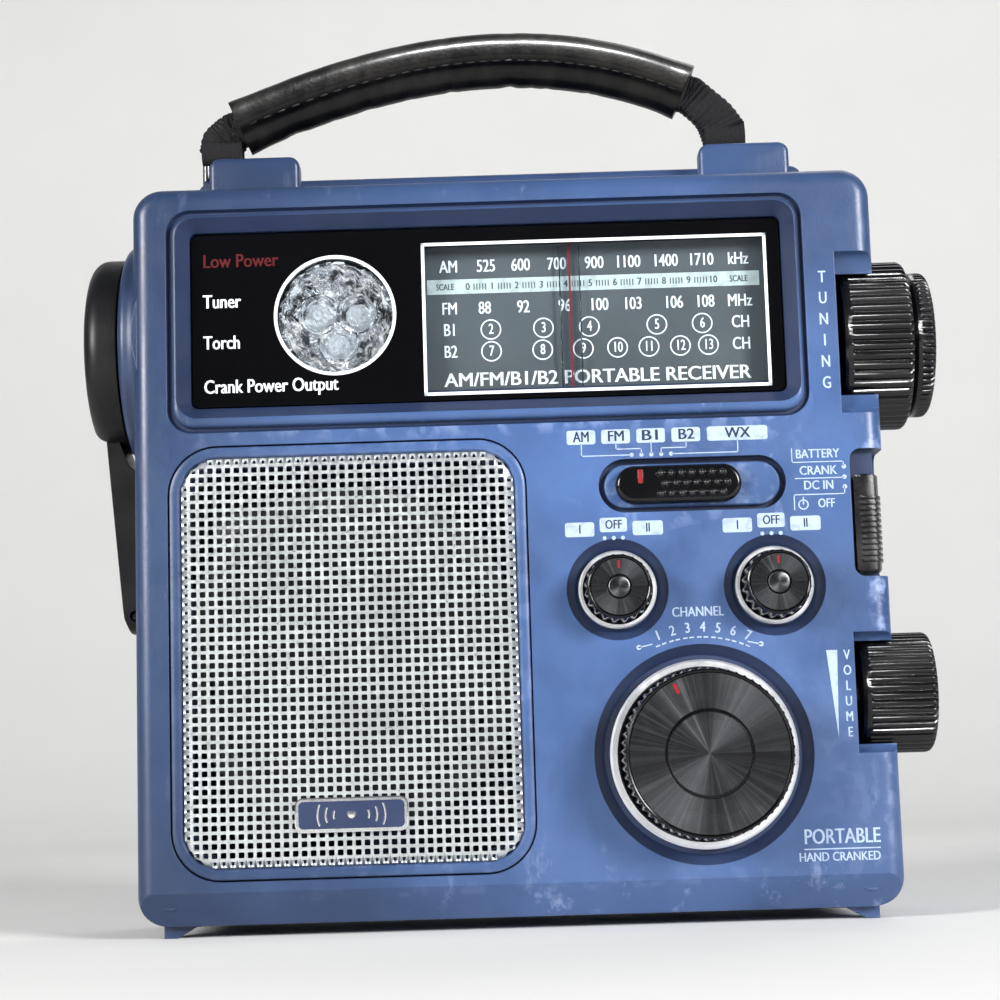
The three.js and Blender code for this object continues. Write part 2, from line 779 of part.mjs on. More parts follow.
function jackBlock() {
  const { left, right, low, high } = JACKS;
  const z = (low + high) / 2;
  const block = box(left + 4.3, right - 2.3, 8, BACK - 2, low + 2.3, high - 2.3);
  const sockets = [7.5, 13, 18.5].map((step) => spunAboutY(rod(1.8, 12, BACK), left + step, z, 12));
  return cut(block, ...sockets);
}

function caseScrew(screw) {
  const profile = [
    [0, -14],
    [1, -14],
    [1.3, -13],
    [1.3, BACK - 5],
    [2.7, BACK - 5],
    [2.7, BACK - 3.6],
    [1.8, BACK - 2.6],
    [0, BACK - 2.6],
  ];
  return spunAboutY(profile, screw.x, screw.z, 12);
}

// ---- The crank and the dynamo -------------------------------------------------------------

function crankHub() {
  const { hubEnd, bossEnd, hub, y, z } = CRANK;
  const disc = [
    [0, hubEnd],
    [hub - 3, hubEnd],
    [hub - 0.9, hubEnd + 1],
    [hub, hubEnd + 3],
    [hub, bossEnd - 0.5],
    [0, bossEnd - 0.5],
  ];
  const slot = box(hubEnd - 5, -81.2, -ARM.halfWidth - GAP, ARM.halfWidth + GAP, 80, 115.2);
  return cut(spunAboutX(disc, y, z, 36), slot, armPinHole());
}

function armPinHole() {
  const hole = circle(1.3, ARM.pinX, ARM.pinZ);
  return alongY(hole, -12, 12, { segments: 12 });
}

function crankArmPin() {
  return alongY(circle(1, ARM.pinX, ARM.pinZ), -9.5, 9.5, { segments: 12 });
}

// The arm lies down the side of the case and leans in towards its tip.
function crankArm() {
  const side = polygon([
    [-85.8, 108],
    [-84.7, 101],
    [-81.2, 62.6],
    [-80.4, 59.8],
    [-77, 59.8],
    [-77, 66],
    [-77.4, 92.6],
    [-80.2, 95.4],
    [-81.7, 99.5],
    [-81.8, 108],
  ]);
  const knuckle = circle(2.2, ARM.pinX, ARM.pinZ);
  const neck = polygon([
    [-85.9, ARM.pinZ],
    [-85.9, 107.5],
    [-81.7, 107.5],
    [-81.7, ARM.pinZ],
  ]);
  const half = ARM.halfWidth;
  const plan = roundedRect(2 * half, 62, 5.5, 0, 59.8 + 31);
  const gripSlot = roundedRect(9.4, 33.4, 0.5, 0, 78);
  const pin = alongY(circle(1.1, ARM.tipX, ARM.tipZ + 1.2), -12, 12, { segments: 12 });
  return cut(
    union(
      alongY(side, -half, half),
      alongY(knuckle, -half, half),
      alongY(neck, -half, half),
    ).intersect(alongX(plan, -95, -70)),
    alongX(gripSlot, -95, -70),
    armPinHole(),
    pin,
  );
}

// The folding grip is stowed in the arm's slot; its trunnions sit in the arm's cheeks.
function crankGrip() {
  const side = polygon([
    [-80.4, 64.4],
    [-83.4, 93.6],
    [-78.6, 93.6],
    [-77.3, 66],
  ]);
  const half = 4.3;
  const knuckle = circle(1.6, ARM.tipX, ARM.tipZ + 1.2);
  const body = union(
    alongY(side, -half, half),
    alongY(knuckle, -half, half, { segments: 8 }),
    alongY(
      polygon([
        [-80.5, 64.8],
        [-80.5, 63.2],
        [-77.3, 63.2],
        [-77.3, 66.4],
      ]),
      -half,
      half,
    ),
  );
  return union(
    body,
    alongY(circle(0.8, ARM.tipX, ARM.tipZ + 1.2), -6, 6, { segments: 12 }),
  );
}

function driveGear() {
  const { moduleA, drive } = TRAIN;
  return union(
    alongX(gearOutline(moduleA, drive, 0, CRANK.y, CRANK.z), -72.9, -70),
    spunAboutX(rod(4, -79.8, -64), CRANK.y, CRANK.z, 20),
  );
}

// Where two gears' centres are joined, the driven one has a gap facing the driver's tooth.
function meshTurn(driver, driverTurn, driverTeeth, driven, drivenTeeth) {
  const line = Math.atan2(driven.z - driver.z, driven.y - driver.y);
  const phase = ((line - driverTurn) * driverTeeth) / (2 * Math.PI);
  const offset = phase - Math.round(phase);
  return line + Math.PI + ((offset + 0.5) * 2 * Math.PI) / drivenTeeth;
}

function idlerGear() {
  const { moduleA, drive, pinion, moduleB, idler } = TRAIN;
  const turn = meshTurn(CRANK, 0, drive, IDLER, pinion);
  return union(
    alongX(gearOutline(moduleA, pinion, turn, IDLER.y, IDLER.z), -73.1, -69.6),
    alongX(gearOutline(moduleB, idler, 0, IDLER.y, IDLER.z), -69.7, -67),
    spunAboutX(rod(1.5, -73.3, -64), IDLER.y, IDLER.z, 16),
  );
}

function dynamoPinion() {
  const { moduleB, idler, dynamo } = TRAIN;
  const turn = meshTurn(IDLER, 0, idler, DYNAMO, dynamo);
  return union(
    alongX(gearOutline(moduleB, dynamo, turn, DYNAMO.y, DYNAMO.z), -69.9, -66.8),
    spunAboutX(rod(1, -67, -65.2), DYNAMO.y, DYNAMO.z, 12),
  );
}

function dynamo() {
  const can = [
    [0, -64.6],
    [3, -64.6],
    [3, -63.4],
    [11, -63.4],
    [12, -62.4],
    [12, -42],
    [0, -42],
  ];
  return spunAboutX(can, DYNAMO.y, DYNAMO.z, 28);
}

// ---- The aerial ---------------------------------------------------------------------------

function aerialSwivel() {
  const { x, y, z } = AERIAL;
  const turret = spunAboutZ(
    [
      [0, HEIGHT + GAP],
      [4.8, HEIGHT + GAP],
      [4.8, HEIGHT + 1.4],
      [4, HEIGHT + 2],
      [4, z + 2.6],
      [0, z + 2.6],
    ],
    x,
    y,
  );
  const slot = box(x - 9, x + 9, y - 2.2, y + 2.2, HEIGHT + 1.4, z + 9);
  const pin = alongY(circle(0.8, x, z), y - 3.4, y + 3.4, { segments: 8 });
  return union(cut(turret, slot), pin);
}

// Tube 1 carries a flat tongue that turns on the swivel's pin.
function aerialTube1() {
  const { x, y, z, length } = AERIAL;
  const tongue = union(
    alongY(circle(2.4, x, z), y - 1.9, y + 1.9, { segments: 12 }),
    box(x - 9, x, y - 1.9, y + 1.9, z - 1.6, z + 1.6),
  );
  const tube = spunAboutX(rod(3, x - length, x - 5.6), y, z, 12);
  return cut(
    union(tube, tongue),
    spunAboutX(rod(2.55, x - length - 5, x - 9.6), y, z, 12),
    alongY(circle(1.1, x, z), y - 5, y + 5, { segments: 8 }),
  );
}

function aerialTube(step, outer, inner) {
  const { x, y, z, length } = AERIAL;
  const from = x - length - step;
  const to = x - 10 - step;
  return spunAboutX(pipe(outer, inner, from, to), y, z, 12);
}

function aerialRod() {
  const { x, y, z, length } = AERIAL;
  const end = x - length - 3.4;
  return union(
    spunAboutX(rod(1, end, x - 13.4), y, z, 12),
    spunAboutX(
      [
        [0, end - 5],
        [2, end - 4.6],
        [2.6, end - 3.6],
        [2.6, end - 0.6],
        [2.2, end],
        [0, end],
      ],
      y,
      z,
      20,
    ),
  );
}

// ---- The carrying strap -------------------------------------------------------------------

function strapRing(x) {
  const { y, low, high, halfWidth, wire } = RING;
  const middle = (low + high) / 2;
  const outer = roundedRect(2 * halfWidth + wire, high - low + wire, 3, x, middle);
  const inner = roundedRect(2 * halfWidth - wire, high - low - wire, 1.4, x, middle);
  return cut(alongY(outer, y - wire / 2, y + wire / 2), alongY(inner, -FAR, FAR));
}

const at = (x, z) => new THREE.Vector3(x, RING.y, z);

const gripPath = new THREE.QuadraticBezierCurve3(
  at(GRIP.leftX, GRIP.leftZ),
  at(GRIP.peakX, GRIP.peakZ),
  at(GRIP.rightX, GRIP.rightZ),
);

// The webbing's middle line: up from one ring, through the grip, and down to the other ring.
function strapPath() {
  const points = [at(RING.leftX, RING.high + 1.2), at(RING.leftX + 0.1, RING.high + 3)];
  points.push(at(GRIP.leftX - 1.8, GRIP.leftZ - 0.8));
  points.push(...gripPath.getPoints(8));
  points.push(at(GRIP.rightX + 1.8, GRIP.rightZ - 0.9), at(RING.rightX - 2.2, RING.high + 5.4));
  points.push(at(RING.rightX, RING.high + 1.4));
  return new THREE.CatmullRomCurve3(points, false, "centripetal");
}

function alongPath(shape, path, steps, segments = 5) {
  return solid(
    new THREE.ExtrudeGeometry(shape, {
      steps,
      extrudePath: path,
      curveSegments: segments,
      bevelEnabled: false,
    }),
  );
}

// Each end of the webbing is a sewn eye round its ring's upper bar.
function strapWebbing() {
  const eye = (x) => {
    const loop = new THREE.Shape();
    loop.absarc(RING.y, RING.high, 2.9, Math.PI, 2 * Math.PI, false);
    loop.lineTo(RING.y + 2.2, RING.high + 4.5);
    loop.lineTo(RING.y - 2.2, RING.high + 4.5);
    return alongX(loop, x - EYE_HALF_WIDTH, x + EYE_HALF_WIDTH, 8);
  };
  const bar = spunAboutX(rod(1.6, -99, 99), RING.y, RING.high, 12);
  return cut(
    union(
      alongPath(roundedRect(3.4, 8, 1, 0, 0), strapPath(), 24, 1),
      eye(RING.leftX),
      eye(RING.rightX),
    ),
    bar,
  );
}

function strapGrip() {
  const sleeve = alongPath(roundedRect(12, 12, 5, 0, 0), gripPath, 12, 3);
  const channel = alongPath(roundedRect(5.4, 10, 0.8, 0, 0), strapPath(), 24, 1);
  return sleeve.subtract(channel);
}

// ---- The scene ----------------------------------------------------------------------------

const radio = new THREE.Group();
const standing = new THREE.Group();
standing.position.set(
  -(CRANK.hubEnd + FINE.end) / 2,
  -(FRONT - BIG_KNOB.height + BACK + FLAP_GRIP) / 2,
  FOOT,
);
radio.add(standing);

function place(name, shape, material) {
  const mesh = new THREE.Mesh(geometryOf(shape.simplify(0.01)), material);
  mesh.name = name;
  standing.add(mesh);
}

const whole = wholeCase();
place("front_shell", frontShell(whole), blue);
place("rear_shell", rearShell(whole), blue);
place("window_lens", windowLens(), smoked);
place("dial_scale_plate", dialScalePlate(), grey);
place("tuning_pointer", tuningPointer(), red);
place("pointer_rail", pointerRail(), steel);
place("lamp_reflector", lampReflector(), chrome);
place("lamp_led_left", lampLed(155), clear);
place("lamp_led_right", lampLed(25), clear);
place("lamp_led_lower", lampLed(270), clear);
place("grille_frame", grilleFrame(), blue);
place("speaker_grille", speakerGrille(), aluminium);
place("grille_badge", grilleBadge(), chrome);
place("speaker_basket", speakerBasket(), steel);
place("speaker_cone", speakerCone(), paper);
place("speaker_magnet", speakerMagnet(), ferrite);
place("band_slider", bandSlider(), black);
place("light_knob", flutedKnob(SMALL_KNOB, LIGHT, 24), black);
place("light_knob_ring", knobRing(SMALL_KNOB, LIGHT), chrome);
place("alert_knob", flutedKnob(SMALL_KNOB, ALERT, 24), black);
place("alert_knob_ring", knobRing(SMALL_KNOB, ALERT), chrome);
place("weather_knob", flutedKnob(BIG_KNOB, WEATHER, 48), black);
place("weather_knob_ring", knobRing(BIG_KNOB, WEATHER), chrome);
place("tuning_knob", tuningKnob(), black);
place("fine_tuning_knob", fineTuningKnob(), black);
place("volume_knob", volumeKnob(), black);
place("power_slider", powerSlider(), black);
place("tuning_capacitor", tuningCapacitor(), white);
place("volume_pot", volumePot(), steel);
place("main_board", mainBoard(), circuit);
place("crank_hub", crankHub(), black);
place("crank_arm", crankArm(), black);
place("crank_arm_pin", crankArmPin(), steel);
place("crank_grip", crankGrip(), black);
place("drive_gear", driveGear(), white);
place("idler_gear", idlerGear(), white);
place("dynamo_pinion", dynamoPinion(), white);
place("dynamo", dynamo(), steel);
place("aerial_swivel", aerialSwivel(), black);
place("aerial_tube_1", aerialTube1(), nickel);
place("aerial_tube_2", aerialTube(1, 2.3, 1.85), nickel);
place("aerial_tube_3", aerialTube(2.2, 1.65, 1.2), nickel);
place("aerial_rod", aerialRod(), nickel);
place("strap_ring_left", strapRing(RING.leftX), steel);
place("strap_ring_right", strapRing(RING.rightX), steel);
place("strap_webbing", strapWebbing(), nylon);
place("strap_grip", strapGrip(), leather);
place("battery_door", batteryDoor(), blue);
for (let index = 0; index < 3; index++) place(`aa_cell_${index + 1}`, cellAt(index), nickel);
place("battery_pack", batteryPack(), copper);
place("ferrite_rod", ferriteRod(), ferrite);
place("siren", siren(), black);
place("jack_flap", jackFlap(), rubber);
place("jack_block", jackBlock(), black);
for (const screw of SCREWS) place(`case_screw_${screw.name}`, caseScrew(screw), steel);

export default radio;
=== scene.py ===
"""A hand-cranked emergency radio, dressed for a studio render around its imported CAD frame.

Shapes are drawn in millimetres about the middle of the case's underside, with the front panel
at y = -25, and moved into the frame (metres) when each piece is added.
"""

import math
import random

import bmesh
import bpy
from mathutils import Matrix, Vector


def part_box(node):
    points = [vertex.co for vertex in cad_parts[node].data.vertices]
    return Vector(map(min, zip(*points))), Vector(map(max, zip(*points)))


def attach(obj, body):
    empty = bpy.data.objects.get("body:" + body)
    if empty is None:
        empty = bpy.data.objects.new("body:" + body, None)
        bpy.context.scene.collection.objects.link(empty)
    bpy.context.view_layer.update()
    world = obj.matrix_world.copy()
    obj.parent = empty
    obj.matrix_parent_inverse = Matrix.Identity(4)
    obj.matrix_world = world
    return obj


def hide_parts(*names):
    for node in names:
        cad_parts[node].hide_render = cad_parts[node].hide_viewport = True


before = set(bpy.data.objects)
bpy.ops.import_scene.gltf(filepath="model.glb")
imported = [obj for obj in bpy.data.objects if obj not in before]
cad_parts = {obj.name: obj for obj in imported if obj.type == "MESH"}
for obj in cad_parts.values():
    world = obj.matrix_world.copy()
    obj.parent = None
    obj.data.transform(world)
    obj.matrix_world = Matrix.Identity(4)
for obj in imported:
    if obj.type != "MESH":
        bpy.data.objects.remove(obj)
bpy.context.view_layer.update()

# ---- Dimensions shared with the CAD, in millimetres -------------------------------------------

FOOT = 2.5
WIDTH, HEIGHT = 152, 150
FRONT, BACK, SIDE = -25, 25, 76
WALL, SEAM, GAP = 2.4, -6, 0.3
FRONT_END, REAR_START = SEAM - GAP / 2, SEAM + GAP / 2
CORNER, EDGE = 6, 3.5
INSIDE = FRONT + WALL
GLASS, GLASS_BACK, DIAL_FACE, NEEDLE = -22, -20.5, -17.6, -19
FAR = 40  # how far a cutter reaches past what it cuts
PAST, UNDER, OVER = 99, -20, 200  # limits beyond the whole object's sides, bottom and top

WINDOW = dict(x=-3.45, z=122.25, width=121.2, height=36.2, slope=2.4)
BEZEL = dict(x=-3.65, z=121.65, width=130.4, height=46.4, rise=1.2)
SCALE = dict(x=18.9, z=121.25, width=70.4, height=31.3)
LAMP = dict(x=-34.6, z=122.7, radius=11.8)
SPEAKER = dict(x=-32.65, z=52.2, width=72.6, height=87.1, corner=10)
BAND = dict(x=37, z=85.1, length=37.8, height=10.9, slider=34.2)
LIGHT, ALERT, WEATHER = (21.2, 64.2), (52.7, 64.2), (37.2, 31)
TUNING = dict(y=-8, z=115.4, radius=17.7, start=69.2, end=83.6, ribs=52, notch=16.7, slot=12.1)
FINE = dict(y=-8, z=115.4, radius=15.2, start=83.9, end=88.4, ribs=66)
VOLUME = dict(y=-13.8, z=42.3, radius=12.2, start=69.2, end=84.3, ribs=46, notch=12, slot=9.1)
POWER = dict(left=68.9, bottom=65.4, top=91.3, length=19)
CRANK = dict(y=0, z=119.5, boss=23.5, boss_end=-79.5, hub=20.8, hub_end=-87.2)
ARM_PIN = (-83.8, 112.5)
RAIL = dict(half=65.7, top=157.8, front=-0.5, back=9)
LUG = dict(x=51.5, width=19, top=158.5, front=-16, back=-10.6)
RING = dict(left=-59.2, right=48.5, y=-6.8, low=153.2, high=161.8, half=3.5, wire=0.9)
BAY = dict(half=31, low=5, high=57, floor=7)
JACKS = dict(left=-69, right=-43, low=12, high=25)
SCREWS = [(-69.5, 6.5), (69.5, 6.5), (-69.5, 143.4), (69.5, 143.4)]
GRIP_BEND = [(-55.4, 167.4), (-0.5, 191.3), (40.1, 172.4)]

# ---- Dimensions of the dressing ---------------------------------------------------------------

HOLES = dict(columns=38, rows=46, side=1.16, soft=0.22, sheet=0.45)
RIB_DEPTH = 0.75
STITCH = dict(count=34, drop=-1.55, forward=5.25, half=0.95, thick=0.28)
BOLD = 0.045  # how far a letter is thickened, as a share of its size
INK = 0.03  # thickness of a printed letter
# Centre, start and end of the painted shade that darkens the blue away from the front panel's middle.
SHADE_FALLOFF_CENTRE, SHADE_FALLOFF_FROM, SHADE_FALLOFF_TO = (0.024, 0, 0.072), 0.04, 0.108  # metres
# Turn of the painted highlight rays on the knob tops.
RAY_TURN = math.radians(52)
CAMERA = dict(place=(-0.228, -444.857, 29.046), tilt=97.323, roll=1.696, turn=0.438)  # angles in degrees

SHIFT = Vector(
    (
        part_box("front_shell")[1].x - SIDE / 1000,
        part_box("rear_shell")[1].y - BACK / 1000,
        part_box("front_shell")[0].z + FOOT / 1000,
    )
)
TO_FRAME = Matrix.Translation(SHIFT) @ Matrix.Diagonal((0.001, 0.001, 0.001, 1))

# ---- Materials --------------------------------------------------------------------------------


def tinted(color, gain, lift=0.0):
    """A colour made lighter or darker, at most white."""
    return tuple(min(1, c * gain + lift) for c in color)


class Nodes:
    """A short hand for wiring one material's node tree."""

    def __init__(self, name, **values):
        self.material = bpy.data.materials.new(name)
        self.material.use_nodes = True
        self.tree = self.material.node_tree
        self.shader = self.tree.nodes["Principled BSDF"]
        self.set(**values)

    def add(self, kind, **values):
        node = self.tree.nodes.new("ShaderNode" + kind)
        for key, value in values.items():
            if hasattr(node, key):
                setattr(node, key, value)
            else:
                node.inputs[key.replace("_", " ")].default_value = value
        return node

    def link(self, source, target):
        self.tree.links.new(source, target)

    def set(self, **values):
        for key, value in values.items():
            self.shader.inputs[key.replace("_", " ")].default_value = value

    def color(self, source):
        self.link(source, self.shader.inputs["Base Color"])

    def rough(self, source, low, high):
        self.link(self.ramp(source, 0.3, 0.7, low, high), self.shader.inputs["Roughness"])

    def coordinates(self, stretch=(1, 1, 1), kind="Object"):
        mapping = self.add("Mapping", Scale=stretch)
        self.link(self.add("TexCoord").outputs[kind], mapping.inputs["Vector"])
        return mapping.outputs["Vector"]

    def noise(self, scale, detail=3, stretch=(1, 1, 1), rough=0.5):
        node = self.add("TexNoise", Scale=scale, Detail=detail, Roughness=rough)
        self.link(self.coordinates(stretch), node.inputs["Vector"])
        return node.outputs["Fac"]

    def cells(self, scale):
        node = self.add("TexVoronoi", Scale=scale)
        self.link(self.coordinates(), node.inputs["Vector"])
        return node.outputs["Distance"]

    def ramp(self, source, low, high, start=0.0, end=1.0):
        node = self.add("MapRange", From_Min=low, From_Max=high, To_Min=start, To_Max=end)
        self.link(source, node.inputs["Value"])
        return node.outputs["Result"]

    def mix(self, factor, first, second):
        node = self.add("Mix", data_type="RGBA")
        for source, socket in ((factor, 0), (first, 6), (second, 7)):
            if isinstance(source, tuple):
                node.inputs[socket].default_value = (*source, 1)
            elif isinstance(source, float):
                node.inputs[socket].default_value = source
            else:
                self.link(source, node.inputs[socket])
        return node.outputs[2]

    def math(self, operation, first, second=0.0):
        node = self.add("Math", operation=operation)
        for index, source in enumerate((first, second)):
            if isinstance(source, (float, int)):
                node.inputs[index].default_value = source
            else:
                self.link(source, node.inputs[index])
        return node.outputs[0]

    def rays(self, turn):
        """Painted highlight by the angle round the middle alone: two opposite fans of fine rays."""
        split = self.add("SeparateXYZ")
        self.link(self.add("TexCoord").outputs["Generated"], split.inputs[0])
        across = self.math("SUBTRACT", split.outputs["X"], 0.5)
        rise = self.math("SUBTRACT", split.outputs["Z"], 0.5)
        angle = self.math("ARCTAN2", rise, across)
        fan = self.math("ABSOLUTE", self.math("COSINE", self.math("SUBTRACT", angle, turn)))
        fan = self.math("POWER", fan, 9.0)
        streaks = self.add("TexNoise", noise_dimensions="1D", Scale=7.0, Detail=5.0, Roughness=0.75)
        self.link(angle, streaks.inputs["W"])
        fine = self.ramp(streaks.outputs["Fac"], 0.46, 0.7)
        return self.math("ADD", self.math("MULTIPLY", fan, 0.62), self.math("MULTIPLY", fine, 0.35))

    def bump(self, height, distance, strength=1.0, bevel=0.0):
        node = self.add("Bump", Strength=strength, Distance=distance)
        self.link(height, node.inputs["Height"])
        if bevel:
            soft = self.add("Bevel", samples=4, Radius=bevel)
            self.link(soft.outputs["Normal"], node.inputs["Normal"])
        self.link(node.outputs["Normal"], self.shader.inputs["Normal"])


def worn(n, tone, color, wear):
    """Cloudy haze, then scuffs, thin scratches and rubbed edges over a base tone."""
    haze = n.math("MULTIPLY", n.ramp(n.noise(19, 7, (1, 1, 0.7), 0.66), 0.47, 0.66), 0.5 * wear)
    tone = n.mix(haze, tone, tinted(color, 1.3, 0.035))
    scuffs = n.noise(160, 8, (1, 1, 0.35), 0.72)
    spots = n.math("MULTIPLY", n.ramp(scuffs, 0.58, 0.68), n.ramp(n.noise(22, 2), 0.5, 0.68))
    scratch = n.noise(45, 3, (1, 1, 0.04), 0.7)
    thin = n.math("MULTIPLY", n.ramp(scratch, 0.68, 0.7), n.ramp(n.noise(26, 2), 0.52, 0.6))
    rub = n.add("NewGeometry").outputs["Pointiness"]
    edges = n.math("MULTIPLY", n.ramp(rub, 0.53, 0.6), n.ramp(n.noise(300, 6), 0.5, 0.62))
    marks = n.math("MAXIMUM", n.math("MAXIMUM", spots, thin), edges)
    return n.mix(n.math("MULTIPLY", marks, wear), tone, tinted(color, 1.6, 0.2))


def faded(n, tone, color, fade):
    """Painted shade: darkens a tone away from the middle of the front panel, where the light falls off."""
    apart = n.add("VectorMath", operation="DISTANCE")
    n.link(n.coordinates((1, 0, 1)), apart.inputs[0])
    apart.inputs[1].default_value = SHADE_FALLOFF_CENTRE
    # The mask of painted shade grows with the distance from the panel's middle.
    painted_shade = n.ramp(apart.outputs["Value"], SHADE_FALLOFF_FROM, SHADE_FALLOFF_TO, 0, fade)
    return n.mix(painted_shade, tone, tinted(color, 0.22))


def moulded(name, color, rough, grain=1800, depth=0.00002, vary=0.12, bevel=0.0003, **more):
    """Moulded plastic: a spark-eroded grain and an uneven sheen, and wear and painted shade away from the
    panel's middle if asked.
    """
    wear, fade = more.pop("wear", 0), more.pop("fade", 0)
    n = Nodes(name, **more)
    tone = n.mix(n.ramp(n.noise(38, 4), 0.35, 0.65), tinted(color, 1 - vary), tinted(color, 1 + vary))
    if wear:
        tone = worn(n, tone, color, wear)
    if fade:
        tone = faded(n, tone, color, fade)
    n.color(tone)
    n.rough(n.noise(90, 5), rough - 0.06, rough + 0.08)
    n.bump(n.noise(grain, 2), depth, 1.0, bevel)
    return n.material


def printed(name, color, glow):
    """Pad-printed ink with small wear marks; its glow is painted light that keeps it bright in shade."""
    n = Nodes(name, Roughness=0.5, Emission_Strength=glow, Specular_IOR_Level=0.2)
    tone = n.mix(n.ramp(n.noise(520, 5), 0.36, 0.5), tinted(color, 0.8), color)
    n.color(tone)
    n.link(tone, n.shader.inputs["Emission Color"])
    return n.material


def sparkling(name):
    """Chrome in small cells that lean each its own way, with painted reflection as dark patches in its colour
    and painted highlight as bright glowing flecks.
    """
    n = Nodes(name, Metallic=1.0, Roughness=0.08, Emission_Strength=0.5)
    # Painted reflection: dark patches in the chrome's colour.
    shade = n.ramp(n.noise(260, 3, rough=0.6), 0.38, 0.48)
    n.color(n.mix(shade, (0.10, 0.11, 0.12), (0.97, 0.98, 1.0)))
    # Painted highlight: flecks that glow.
    painted_glints = n.ramp(n.noise(330, 5, rough=0.7), 0.52, 0.6)
    n.link(n.mix(painted_glints, (0, 0, 0), (1.0, 1.0, 1.0)), n.shader.inputs["Emission Color"])
    n.bump(n.math("ADD", n.cells(520), n.noise(240, 4)), 0.0005, 1.0)
    return n.material


def metal(name, color, rough, stretch=(1, 1, 1), scale=900, depth=0.00001, plating=1.0):
    """Plated, brushed or rolled metal with fine lines and a few dull patches."""
    n = Nodes(name, Metallic=plating)
    lines = n.noise(scale, 4, stretch)
    n.color(n.mix(n.ramp(n.noise(60, 4), 0.4, 0.75), color, tinted(color, 0.78)))
    n.rough(lines, rough * 0.7, rough * 1.4)
    n.bump(lines, depth)
    return n.material


def spun_top(name, color, rough):
    """Black disc turned on a lathe: its shine runs out from its middle in rays, partly from its anisotropic
    sheen and partly from rays of painted highlight in its colour.
    """
    n = Nodes(name, Metallic=0.85, Anisotropic=0.85)
    tangent = n.add("Tangent", direction_type="RADIAL", axis="Y")
    n.link(tangent.outputs[0], n.shader.inputs["Tangent"])
    plain = n.mix(n.ramp(n.noise(420, 6), 0.5, 0.8), color, tinted(color, 1.5))
    # Painted highlight: the rays lighten the disc's colour up to sixfold.
    n.color(n.mix(n.rays(RAY_TURN), plain, tinted(color, 6)))
    n.rough(n.noise(110, 4), rough - 0.04, rough + 0.08)
    return n.material


def leather_material():
    n = Nodes("glazed_leather", Coat_Weight=0.3, Coat_Roughness=0.2, Specular_IOR_Level=0.05)
    creases = n.noise(150, 6, (1, 0.5, 0.5), 0.65)
    n.color(n.mix(n.ramp(creases, 0.42, 0.6), (0.002, 0.002, 0.002), (0.007, 0.0065, 0.006)))
    n.rough(creases, 0.3, 0.5)
    n.bump(n.math("ADD", n.math("MULTIPLY", n.cells(1100), 0.3), creases), 0.0002, 0.9)
    return n.material


def webbing_material():
    """Coarse ribbed nylon: the ribs are in the mesh, and the yarns are here."""
    n = Nodes("woven_nylon", Specular_IOR_Level=0.3)
    wave = n.add("TexWave", Scale=0.55, Distortion=1.2, Detail=2)
    n.link(n.coordinates(kind="UV"), wave.inputs["Vector"])
    yarn = wave.outputs["Fac"]
    fuzz = n.noise(1500, 3)
    n.color(n.mix(n.ramp(yarn, 0.2, 0.8), (0.002, 0.002, 0.003), (0.012, 0.012, 0.014)))
    n.rough(fuzz, 0.45, 0.75)
    n.bump(n.math("ADD", yarn, n.math("MULTIPLY", fuzz, 0.5)), 0.00018, 0.8)
    return n.material


def clear_window():
    """Clear pane whose shine grows as it is seen at a slant."""
    n = Nodes("window_clear", Base_Color=(0.004, 0.004, 0.005, 1), Roughness=0.12, Coat_Weight=0.3)
    n.bump(n.noise(35, 2), 0.00004, 0.25)
    glass = n.add("BsdfTransparent", Color=(0.95, 0.97, 0.98, 1))
    shine = n.add("BsdfGlossy", Roughness=0.06)
    slant = n.math("POWER", n.add("LayerWeight", Blend=0.5).outputs["Facing"], 4.0)
    lens = n.add("MixShader")
    n.link(n.ramp(slant, 0, 1, 0.03, 0.6), lens.inputs[0])
    n.link(glass.outputs[0], lens.inputs[1])
    n.link(shine.outputs[0], lens.inputs[2])
    n.link(lens.outputs[0], n.tree.nodes["Material Output"].inputs["Surface"])
    return n.material


def led_material():
    n = Nodes("led_clear", Roughness=0.06, Transmission_Weight=0.8, IOR=1.45)
    n.set(Emission_Color=(0.92, 0.96, 1, 1), Emission_Strength=0.05)
    color = (0.9, 0.93, 0.96)
    n.color(n.mix(n.noise(300), color, tinted(color, 0.8)))
    return n.material


# The blue plastic carries wear, and painted shade that darkens it away from the front panel's middle.
BLUE = moulded(
    "blue_plastic", (0.050, 0.104, 0.258), 0.36, wear=1.0, fade=0.85, vary=0.24, depth=0.00003
)
# Dark navy: the ink of the words on labels, and painted shade on recess walls and floors and inside the case,
# as every cutter and inner pad is drawn in it.
NAVY_INK_AND_SHADE = moulded("navy_ink_and_painted_shade", (0.016, 0.030, 0.080), 0.45)
BLACK = moulded(
    "black_gloss_plastic",
    (0.002, 0.002, 0.0025),
    0.15,
    depth=0.00001,
    bevel=0.0002,
    Specular_IOR_Level=0.4,
)
SHINY = moulded("polished_black_plastic", (0.012, 0.012, 0.013), 0.13, depth=0.000002, bevel=0)
MATTE = moulded("black_matte_plastic", (0.004, 0.004, 0.005), 0.4, Specular_IOR_Level=0.3)
RUBBER = moulded("rubber_plastic", (0.018, 0.018, 0.019), 0.7)
PANEL = moulded(
    "window_black", (0.0015, 0.0015, 0.002), 0.12, depth=0.000004, Specular_IOR_Level=0.22
)
SLATE = moulded("dial_slate", (0.080, 0.093, 0.103), 0.4, depth=0.000004)
